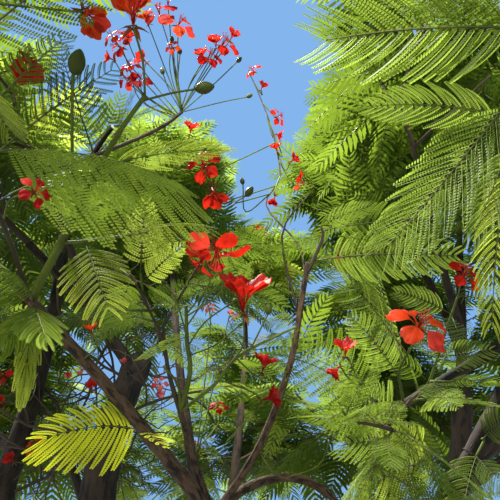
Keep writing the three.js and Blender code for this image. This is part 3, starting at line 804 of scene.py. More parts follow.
# Corners round near limbs and other boughs, and metres between rings
NEAR_FINENESS, BOUGH_FINENESS, LIMB_LEAST_RINGS = (28, 0.012), (20, 0.035), 8
TRUNK_SIDES, TRUNK_RINGS, TRUNK_RELIEF, TRUNK_GRAIN_STRETCH, TRUNK_OFFSET = 110, 90, 0.4, 0.45, 5
# The trunk's rings are closer near its foot by this power
TRUNK_RING_POWER = 1.35
# A saw cut: its size as a share of the limb's tip, its corners, two steps inwards as shares of the tip with
# their depths in metres, how far it stands off the tip, and its roughness
CUT_SIZE, CUT_SIDES, CUT_GAP, CUT_ROUGHNESS = 0.97, 40, 0.004, 0.003
CUT_STEPS = ((0.12, -0.002), (0.4, -0.001))


def lumps_of(name, length):
    """A limb's lumps: how far along it they are, their turn round it and their height."""
    random = seeded(7 + sum(map(ord, name)))
    count = int(length / LUMP_SPACING) + 1
    return [(next(random) * length, next(random) * 2 * math.pi,
             LUMP_HEIGHT + LUMP_HEIGHT_SPREAD * next(random)) for _ in range(count)]


def relief(turn, along, radius, lumps, depth, offset):
    """What the radius is multiplied by at a place on a limb."""
    around = Vector((math.cos(turn), math.sin(turn), 0))
    layers = 0
    for number, (across, lengthways, share) in enumerate(RELIEF_LAYERS):
        height = along * lengthways + (number + 1) * offset
        layers += share * noise.noise(around * across + Vector((0, 0, height)))
    total = depth * layers
    for place, angle, height in lumps:
        away = (along - place) / (LUMP_LENGTH * radius)
        if abs(away) < LUMP_END:
            bend = math.cos(turn - angle) - 1
            total += height * math.exp(-away * away + LUMP_NARROWING * bend)
    return 1 + total


def limb_into(bm, name, sides, spacing, depth):
    """A limb along its path, with a collar where it leaves what carries it."""
    limb = LIMBS[name]
    length, foot, tip = limb.length * MM, limb.foot * MM, limb.tip * MM
    rings = max(LIMB_LEAST_RINGS, math.ceil(length / spacing))
    points = rounded(PATHS[name], rings + 1)
    _, firsts, seconds = frames_along(points)
    grain = bm.verts.layers.float_vector["grain"]
    offset = sum(map(ord, name)) % 97
    lumps = lumps_of(name, length)
    grid = bmesh.ops.create_grid(bm, x_segments=sides, y_segments=rings, size=0.5)
    for vertex in grid["verts"]:
        turn = (round((vertex.co.x + 0.5) * sides) % sides) * 2 * math.pi / sides
        ring = round((vertex.co.y + 0.5) * rings)
        along = ring / rings * length
        plain = foot + (tip - foot) * ring / rings
        collar = 1 + COLLAR * math.exp(-along / (COLLAR_LENGTH * foot))
        radius = plain * collar * relief(turn, along, plain, lumps, depth, offset)
        around = firsts[ring] * math.cos(turn) + seconds[ring] * math.sin(turn)
        vertex.co = points[ring] + around * radius
        vertex[grain] = (math.cos(turn) * plain, math.sin(turn) * plain, along * GRAIN_STRETCH + offset)
    close_tube(bm, grid)


def close_tube(bm, grid):
    """Weld the two long sides of a rolled-up grid and close its ends."""
    rim = [vertex for vertex in grid["verts"] if vertex.is_boundary]
    bmesh.ops.remove_doubles(bm, verts=rim, dist=1e-6)
    bmesh.ops.holes_fill(bm, edges=[edge for edge in bm.edges if edge.is_boundary], sides=0)


def trunk_into(bm, sides, spacing, depth):
    """The trunk from its flared foot to its domed top."""
    rings = round(TRUNK_HEIGHT / spacing)
    grain = bm.verts.layers.float_vector["grain"]
    lumps = lumps_of("trunk", TRUNK_HEIGHT)
    grid = bmesh.ops.create_grid(bm, x_segments=sides, y_segments=rings, size=0.5)
    for vertex in grid["verts"]:
        turn = (round((vertex.co.x + 0.5) * sides) % sides) * 2 * math.pi / sides
        share = (round((vertex.co.y + 0.5) * rings) / rings) ** TRUNK_RING_POWER
        height = share * TRUNK_HEIGHT
        plain = TRUNK_FOOT_RADIUS + (TRUNK_FORK_RADIUS - TRUNK_FOOT_RADIUS) * share
        roots = 1 + FLARE_ROOT_DEPTH * math.cos(FLARE_ROOTS * turn)
        flare = FLARE_REACH * math.exp(-height / FLARE_HEIGHT) * roots
        dome = max(0, (share - 1 + FORK_DOME) / FORK_DOME)
        radius = (plain + flare) * math.sqrt(1 - FORK_DOME_DROP * dome * dome)
        radius *= relief(turn, height, plain, lumps, depth, TRUNK_OFFSET)
        centre = trunk_centre(height)
        vertex.co = (centre[0] + math.cos(turn) * radius, centre[1] + math.sin(turn) * radius, height)
        vertex[grain] = (math.cos(turn) * plain, math.sin(turn) * plain, height * TRUNK_GRAIN_STRETCH)
    close_tube(bm, grid)


def bark_piece(name, limbs, finish, sides, spacing, depth):
    """Limbs as one piece, with this many corners round and this far between rings."""
    bm = bmesh.new()
    bm.verts.layers.float_vector.new("grain")
    for limb in limbs:
        if limb == "trunk":
            trunk_into(bm, sides, spacing, depth)
        else:
            limb_into(bm, limb, sides, spacing, depth)
    bmesh.ops.recalc_face_normals(bm, faces=bm.faces)
    for face in bm.faces:
        face.smooth = len(face.verts) == 4
    mesh = bpy.data.meshes.new(name)
    bm.to_mesh(mesh)
    bm.free()
    mesh.materials.append(finish)
    return finish_piece(link(mesh, name), limbs)


def saw_cuts():
    """The flat, weathered faces where limbs were sawn off, each with a low rim round it."""
    bm = bmesh.new()
    grain = bm.verts.layers.float_vector.new("grain")
    for name in SAWN:
        limb = LIMBS[name]
        way = way_along(PATHS[name], 1)
        first = unit(np.cross(way, UP))
        second = np.cross(way, first)
        start = set(bm.verts)
        made = bmesh.ops.create_circle(bm, cap_ends=True, segments=CUT_SIDES, radius=limb.tip * MM * CUT_SIZE)
        faces = list({face for vertex in made["verts"] for face in vertex.link_faces})
        for inwards, depth in CUT_STEPS:
            bmesh.ops.inset_region(bm, faces=faces, thickness=limb.tip * MM * inwards, depth=depth)
        bmesh.ops.poke(bm, faces=faces)
        for vertex in set(bm.verts) - start:
            local = vertex.co.copy()
            rough = CUT_ROUGHNESS * noise.noise(local * 60)
            vertex[grain] = local
            vertex.co = (PATHS[name][-1] + first * local.x + second * local.y
                         + way * (local.z + CUT_GAP + rough))
    bmesh.ops.recalc_face_normals(bm, faces=bm.faces)
    mesh = bpy.data.meshes.new("saw_cuts")
    bm.to_mesh(mesh)
    bm.free()
    return mesh


# Growth of the foliage, and the sky between it

# Ellipses in the photograph: middle, half-width and half-height in pixels, and the depth up to which they
# count in metres. They are open sky, limbs that it shows bare, and the places of the placed leaves and heads.
SKY_GAPS = [(*gap, math.inf) for gap in (
    (150, 50, 46, 50), (94, 42, 44, 32), (34, 28, 34, 22), (40, 92, 22, 18), (106, 78, 26, 20),
    (72, 116, 12, 10), (226, 206, 14, 9), (332, 280, 18, 12), (258, 58, 66, 98), (256, 168, 28, 56),
    (222, 312, 13, 20), (282, 332, 10, 14), (318, 372, 22, 28), (98, 376, 26, 12), (205, 380, 7, 10),
)]
BARE_LIMBS = ((101, 146, 16, 28, 3.3), (305, 476, 48, 26, 1.6), (143, 372, 16, 30, 2.4),
              (466, 440, 18, 50, 2.6))
PLACED_ZONES = ((90, 110, 190, 190, 1.5), (420, 110, 150, 190, 1.75), (225, 300, 60, 90, 1.25))
# A spray: each leaf's place along the shoot, its yaw and pitch in degrees, and its length as a share
SPRAY = ((0.03, -58, 6, 0.66), (0.09, 48, -10, 0.72), (0.15, -22, 12, 0.84), (0.21, 20, -4, 0.9))
FULL_SPRAY = (*SPRAY, (0.06, 74, 14, 0.6), (0.13, -40, -16, 0.74))
SHOOT_SHARE = 0.22
SHOOT_RADII = (0.0042, 0.0028)
# Wander in degrees of a leaf's yaw, pitch and lean, its least length and the spread of it, and of its droop
YAW_SPREAD, PITCH_SPREAD, LEAN_SPREAD = 16, 14, 50
LENGTH_LEAST, LENGTH_SPREAD, DROOP_LEAST, DROOP_SPREAD = 0.9, 0.2, 0.1, 0.14
# A twig's greatest radius in metres and as a share of its limb's tip, its taper, the rise of its middle as a
# share of its length, and how far it goes on past its last spray
TWIG_THICKEST, TWIG_THICKNESS, TWIG_TAPER, TWIG_BOW, TWIG_ONWARD = 0.0085, 0.6, 0.55, 0.03, 0.06
# Finer twigs along each twig: their places, radii and blades of the rule, and their first roll, opening and
# length as a share of the twig's, each with its spread
FINE_TWIGS, FINE_TWIG_RADII, FINE_BLADES = (0.35, 0.6, 0.85), (0.006, 0.004), (1, 3, 4)
FINE_ROLL, FINE_ROLL_SPREAD, FINE_OPEN, FINE_OPEN_SPREAD = 60, 40, 50, 20
FINE_LENGTH, FINE_LENGTH_SPREAD = 0.55, 0.2
# A stem goes on at least this far, and is thinner where it goes on further
STEM_LEAST, STEM_THINNING = 0.12, 0.5
# The twigs that end in a head of blossom, where leaves grow nearly to their end
HEAD_TWIGS, HEAD_REACHED = (1, 4), 0.9
# Where leaves and twigs are tested for room: places along and across a leaf and along a twig as shares of its
# length, those on the leaf's middle line, how far they hang down, and the room round them in metres
LEAF_PLACES = ((0.35, 0), (0.6, 0.18), (0.6, -0.18), (0.8, 0), (1, 0))
LEAF_LINE = [0, 3, 4]
LEAF_HANG = 0.08
TWIG_PLACES = (0.3, 0.65, 1)
ROOM = 0.01
# How far in metres the growth may stand past the box of the solids
BOX_MARGIN = 0.09
# Depths in metres up to which leaves are fine or plain and no head of blossom grows by the rule, and how many
# pixels outside the picture that holds
NEAREST, NEAR_ENOUGH, FRAME_MARGIN = 1.1, 1.65, 60
HEADS_FROM, HEADS_MARGIN = 2.3, 20


def shows_in(points, ellipses):
    """True where a point stands in one of these ellipses of the picture."""
    px, py, depth = pixels_of(points)
    inside = np.zeros(len(px), bool)
    for x, y, wide, high, away in ellipses:
        inside |= (((px - x) / wide) ** 2 + ((py - y) / high) ** 2 < 1) & (depth < away)
    return inside & (depth > 0)


def depth_in_picture(point, margin):
    """How deep in the picture a point shows, with a margin in pixels round it, or infinite."""
    px, py, depth = (value[0] for value in pixels_of(point))
    inside = depth > 0 and -margin < px < PICTURE + margin and -margin < py < PICTURE + margin
    return depth if inside else math.inf


def grade_at(point):
    depth = depth_in_picture(point, FRAME_MARGIN)
    if depth < NEAREST:
        return "fine"
    return "plain" if depth < NEAR_ENOUGH else "far"


LOWEST = np.array(CAD_BOX[0]) - BOX_MARGIN
HIGHEST = np.array(CAD_BOX[1]) + BOX_MARGIN


def is_in_box(points):
    return ((points > LOWEST) & (points < HIGHEST)).all(axis=1)


def is_near(mass):
    return mass.limb.startswith("near_")


def leaf_is_free(mass, root, way, side, length):
    """True for a leaf with room on the tree that hides no bare limb and, but for its tip, no open sky."""
    points = np.array([root + way * length * share + side * length * across
                       for share, across in LEAF_PLACES])
    points -= UP * length * LEAF_HANG
    free = is_in_reach(mass, points, ROOM) & is_in_crown(points) & is_in_box(points)
    free &= np.linalg.norm(points - VIEWPOINT, axis=1) > VIEWPOINT_CLEAR
    free &= ~shows_in(points, PLACED_ZONES)
    line = points[LEAF_LINE]
    return (free.all() and is_clear_of_limbs(line, ROOM).all()
            and not shows_in(line[:-1], SKY_GAPS).any() and not shows_in(line, BARE_LIMBS).any())


def twig_is_free(mass, path):
    points = np.array([point_on(path, share) for share in TWIG_PLACES])
    free = is_in_space(mass, points, ROOM) & is_clear_of_limbs(points, ROOM)
    return free.all() and not shows_in(points, SKY_GAPS).any()


# Shoots that the photograph shows near by: the limb or shoot that carries them and the share of it where
# they start, their points as pixel, pixel and depth in metres, their radii in metres, and their colour
SHOOTS = {
    "left_edge": ("near_left_limb", 1, ((8, 236, 1.02), (-20, 168, 0.86), (-34, 60, 0.76), (-38, -24, 0.7)),
                  (0.0055, 0.003), "brown"),
    "left_stalk": ("near_left_limb", 1, ((60, 245, 1.09), (74, 215, 1.04), (86, 188, 1.0)),
                   (0.0095, 0.0075), "green"),
    "bud_stalk": ("left_stalk", 0.75, ((73, 175, 0.98), (72, 120, 0.94), (73, 76, 0.92)),
                  (0.0035, 0.0028), "green"),
    "left_petiole": ("left_stalk", 0.35, ((88, 241, 1.06), (118, 237, 1.05), (147, 233, 1.04)),
                     (0.004, 0.0032), "green"),
    "cut_petiole": ("left_stalk", 0.7, ((90, 210, 1.0), (104, 204, 0.98)), (0.0045, 0.0042), "green"),
    "top_left": ("left_stalk", 1, ((100, 165, 0.97), (122, 128, 0.92), (145, 96, 0.87)),
                 (0.006, 0.004), "green"),
    "right_edge": ("front_right_limb", 1,
                   ((600, -60, 0.96), (545, 30, 0.95), (516, 96, 0.97), (512, 150, 0.98)),
                   (0.008, 0.0045), "brown"),
    "centre": ("near_centre_limb", 1, ((190, 372, 1.27), (187, 340, 1.24), (186, 306, 1.2)),
               (0.0075, 0.004), "green"),
    "centre_right": ("near_centre_limb", 1,
                     ((214, 385, 1.24), (236, 358, 1.18), (268, 340, 1.15), (296, 327, 1.13)),
                     (0.005, 0.0028), "green"),
    "centre_left": ("near_centre_limb", 1, ((178, 385, 1.28), (163, 366, 1.27)), (0.004, 0.003), "green"),
    "high_stalk": ("high_left_limb", 1, ((110, 150, 1.95), (160, 128, 1.85), (182, 112, 1.8)),
                   (0.009, 0.006), "brown"),
    "string": ("near_right_limb", 1, ((298, 244, 1.4), (266, 205, 1.6), (280, 176, 1.68), (272, 130, 1.75),
                                      (258, 92, 1.8), (248, 70, 1.85)), (0.003, 0.0018), "brown"),
    "right_stalk": ("drooping_limb", 1, ((403, 402, 1.5), (399, 372, 1.35), (412, 346, 1.2)),
                    (0.005, 0.003), "green"),
    "right_stalk_low": ("drooping_limb", 0.96, ((384, 402, 1.5), (360, 386, 1.38)), (0.004, 0.0028), "green"),
    "right_stalk_out": ("drooping_limb", 1, ((424, 392, 1.5), (446, 330, 1.42), (458, 296, 1.38)),
                        (0.005, 0.0028), "green"),
    "low_right": ("right_front_bough", 0.62, ((446, 462, 1.6), (424, 446, 1.5)), (0.005, 0.003), "green"),
    "low_right_out": ("right_front_bough", 0.7, ((484, 440, 1.62), (476, 456, 1.5)), (0.005, 0.003), "green"),
    "right_tip": ("near_right_limb", 1, ((322, 240, 1.27), (321, 226, 1.27)), (0.0055, 0.003), "brown"),
    "right_twig": ("near_right_limb", 0.86, ((282, 236, 1.3), (309, 194, 1.33)), (0.0035, 0.0018), "brown"),
}
# Leaves that the photograph shows near by: the shoot or limb and the share of it where they root, their tip
# as pixel, pixel and depth, the way that one side of them points as seen in the picture (right, down, away),
# their droop in degrees, pairs, reach as a share of their length, sweep at foot and tip, pairs of leaflets
# and their fold, and the tints of leaflets and ribs by their place in LEAF_FINISHES. Their order gives seeds.
# Their tints are partly the leaves' own colour and partly painted light: lighter and sunny tints go to some
# leaves that lie in shade, and the pale rib tint stands partly for glints of sun on the ribs.
PLACED_LEAVES = (
    ("left_edge", 0.54, (172, 180, 0.84), (0, 0.68, -0.73), 38, 18, 0.48, 80, 40, 34, 0.4, 2, 3),
    ("left_edge", 0.38, (120, 178, 0.95), (0.1, 0.3, 1), 60, 13, 0.4, 60, 60, 20, 0.5, 1, 2),
    ("left_edge", 0.78, (104, -52, 0.78), (0.5, 1, 0), 12, 12, 0.38, 76, 64, 22, 0.5, 1, 4),
    ("left_edge", 0.72, (8, 128, 0.86), (1, 0, 0), 10, 10, 0.6, 52, 40, 24, 0.3, 3, 4),
    ("left_edge", 0.6, (62, 40, 1.0), (1, 0.4, 0), 0, 15, 0.24, 60, 40, 17, 0.8, 1, 1),
    ("left_edge", 0.5, (112, 70, 1.1), (0.5, 1, 0), 0, 16, 0.2, 56, 40, 17, 0.8, 0, 0),
    ("top_left", 0.3, (62, 56, 1.06), (1, 0.3, 0.2), 10, 15, 0.24, 56, 40, 17, 0.9, 0, 4),
    ("top_left", 0.55, (134, 92, 0.9), (1, 0.5, 0.5), 0, 7, 0.3, 26, 16, 17, 1.1, 2, 4),
    ("top_left", 0.7, (156, 106, 0.92), (1, 0.5, 0.5), 0, 7, 0.3, 26, 16, 17, 1.1, 2, 4),
    ("top_left", 0.3, (222, 150, 0.98), (0.1, 1, 0.2), 10, 8, 0.3, 36, 14, 22, 0.6, 3, 4),
    ("left_petiole", 0.3, (108, 308, 0.88), (1, 0, 0), 8, 12, 0.38, 68, 44, 24, 0.3, 3, 3),
    ("left_petiole", 1.0, (178, 268, 1.1), (0.3, 1, 0), 10, 13, 0.3, 60, 44, 17, 0.5, 1, 1),
    ("left_petiole", 0.7, (206, 226, 1.0), (0, 0.68, -0.73), 35, 11, 0.4, 72, 40, 22, 0.5, 3, 3),
    ("near_left_limb", 0.98, (46, 338, 0.9), (1, 0.2, 0.3), 6, 8, 0.46, 34, 18, 20, 0.9, 2, 2),
    ("near_left_limb", 0.98, (4, 344, 0.92), (1, 0, 0.6), 20, 10, 0.46, 44, 24, 22, 0.8, 1, 3),
    ("near_left_limb", 0.98, (24, 388, 0.96), (1, 0, 0.3), 14, 8, 0.42, 30, 12, 24, 0.3, 3, 3),
    ("near_left_limb", 0.98, (-20, 270, 0.8), (0, 1, 0.4), 40, 14, 0.4, 60, 30, 22, 0.4, 1, 1),
    ("near_left_limb", 0.42, (46, 438, 1.12), (0, 0.68, -0.75), 24, 11, 0.42, 88, 30, 22, 0.1, 6, 6),
    ("near_left_limb", 0.42, (164, 446, 1.1), (1, 0.2, 0.4), 0, 5, 0.3, 36, 20, 20, 0.1, 6, 6),
    ("centre", 0.7, (142, 357, 1.12), (0, 1, 0), 0, 6, 0.34, 24, 14, 20, 0.2, 2, 2),
    ("centre", 0.9, (150, 290, 1.3), (0.6, 1, 0), 0, 12, 0.26, 60, 42, 17, 0.4, 2, 2),
    ("right_edge", 0.5, (326, 40, 0.86), (0, 1, 0), 8, 21, 0.36, 50, 36, 22, 1.15, 2, 2),
    ("right_edge", 0.72, (390, 244, 0.9), (-0.79, -0.61, 0.4), 0, 22, 0.32, 46, 38, 22, 1.15, 2, 4),
    ("right_edge", 0.85, (376, 106, 1.0), (0, 1, 0.2), 16, 13, 0.3, 46, 34, 20, 0.7, 2, 2),
    ("right_edge", 0.95, (474, 236, 0.9), (-1, 0, 0.1), 10, 14, 0.34, 46, 30, 22, 1.0, 2, 2),
    ("right_edge", 0.42, (394, -8, 0.95), (0, 1, 0), 5, 20, 0.3, 55, 40, 20, 1.2, 1, 2),
    ("right_edge", 0.36, (470, -60, 0.9), (1, 0.3, 0), 5, 18, 0.3, 55, 40, 20, 1.1, 1, 2),
    ("right_edge", 1.0, (492, 324, 0.98), (1, -0.3, 0), 8, 18, 0.24, 60, 42, 20, 0.8, 3, 3),
    ("right_tip", 0.2, (456, 256, 1.22), (0, 1, 0.15), 6, 21, 0.22, 74, 52, 20, 0.3, 2, 3),
    ("right_tip", 1.0, (372, 206, 1.25), (0, 1, 0.2), 8, 14, 0.28, 60, 42, 17, 0.6, 2, 2),
    ("right_tip", 0.6, (262, 266, 1.3), (0, 1, 0.2), 8, 12, 0.24, 60, 42, 17, 0.6, 1, 2),
    ("right_tip", 0.8, (424, 220, 1.35), (0.2, 1, 0), 0, 14, 0.26, 60, 42, 17, 0.6, 1, 1),
    ("near_right_limb", 0.8, (280, 352, 1.25), (0.3, 1, 0), 20, 11, 0.34, 66, 40, 17, 0.6, 1, 1),
    ("right_stalk_low", 0.6, (284, 346, 1.3), (0.1, 1, 0.1), 20, 12, 0.34, 66, 44, 17, 0.6, 1, 2),
    ("right_stalk", 0.6, (352, 318, 1.3), (0, 1, 0.1), 10, 14, 0.28, 64, 40, 17, 0.5, 2, 2),
    ("right_stalk", 0.9, (330, 264, 1.5), (0, 1, 0.1), 12, 16, 0.24, 62, 40, 17, 0.2, 2, 3),
    ("right_stalk", 0.8, (376, 268, 1.6), (0.8, 1, 0.1), 12, 15, 0.24, 60, 40, 17, 0.2, 2, 2),
    ("right_stalk_out", 0.8, (396, 292, 1.5), (0, 1, 0.1), 12, 14, 0.3, 64, 40, 17, 0.4, 2, 2),
    ("right_stalk_out", 0.4, (378, 350, 1.55), (0, 1, 0.1), 12, 14, 0.3, 64, 40, 17, 0.4, 1, 2),
    ("near_right_limb", 0.85, (268, 324, 1.3), (1, 0.3, 0), 5, 13, 0.4, 60, 30, 17, 0.4, 2, 3),
    ("near_right_limb", 0.7, (352, 390, 1.4), (0.4, 1, 0), 16, 13, 0.3, 60, 36, 17, 0.4, 2, 3),
    ("right_stalk", 0.3, (330, 418, 1.25), (0, 1, 0.1), 10, 14, 0.28, 64, 40, 17, 0.4, 2, 2),
    ("right_stalk_out", 0.5, (490, 350, 1.3), (0.2, 1, 0), 10, 14, 0.3, 64, 40, 17, 0.4, 2, 2),
    ("right_stalk_out", 0.3, (412, 368, 1.6), (0.3, 1, 0.1), 12, 14, 0.28, 62, 40, 17, 0.3, 2, 2),
    ("low_right", 0.4, (416, 410, 1.65), (0, 1, 0.2), 8, 14, 0.28, 62, 40, 17, 0.3, 1, 1),
    ("low_right", 1.0, (338, 446, 1.38), (0, 1, 0.1), 8, 14, 0.28, 64, 42, 17, 0.4, 2, 2),
    ("low_right", 0.6, (366, 490, 1.34), (0.3, 1, 0.1), 8, 14, 0.28, 64, 42, 17, 0.4, 3, 3),
    ("low_right", 0.8, (434, 520, 1.34), (1, 0, 0.1), 8, 13, 0.32, 64, 42, 17, 0.4, 2, 2),
    ("low_right_out", 1.0, (508, 492, 1.34), (1, -0.6, 0), 8, 13, 0.34, 64, 42, 17, 0.4, 1, 1),
    ("low_right_out", 0.8, (462, 520, 1.34), (1, 0.1, 0), 8, 13, 0.34, 64, 42, 17, 0.4, 2, 2),
    ("low_right_out", 0.3, (512, 416, 1.5), (0.2, 1, 0), 8, 12, 0.34, 64, 42, 17, 0.4, 1, 1),
    ("low_right", 0.9, (372, 424, 1.44), (0, 1, 0.2), 8, 13, 0.28, 64, 42, 17, 0.4, 3, 3),
)
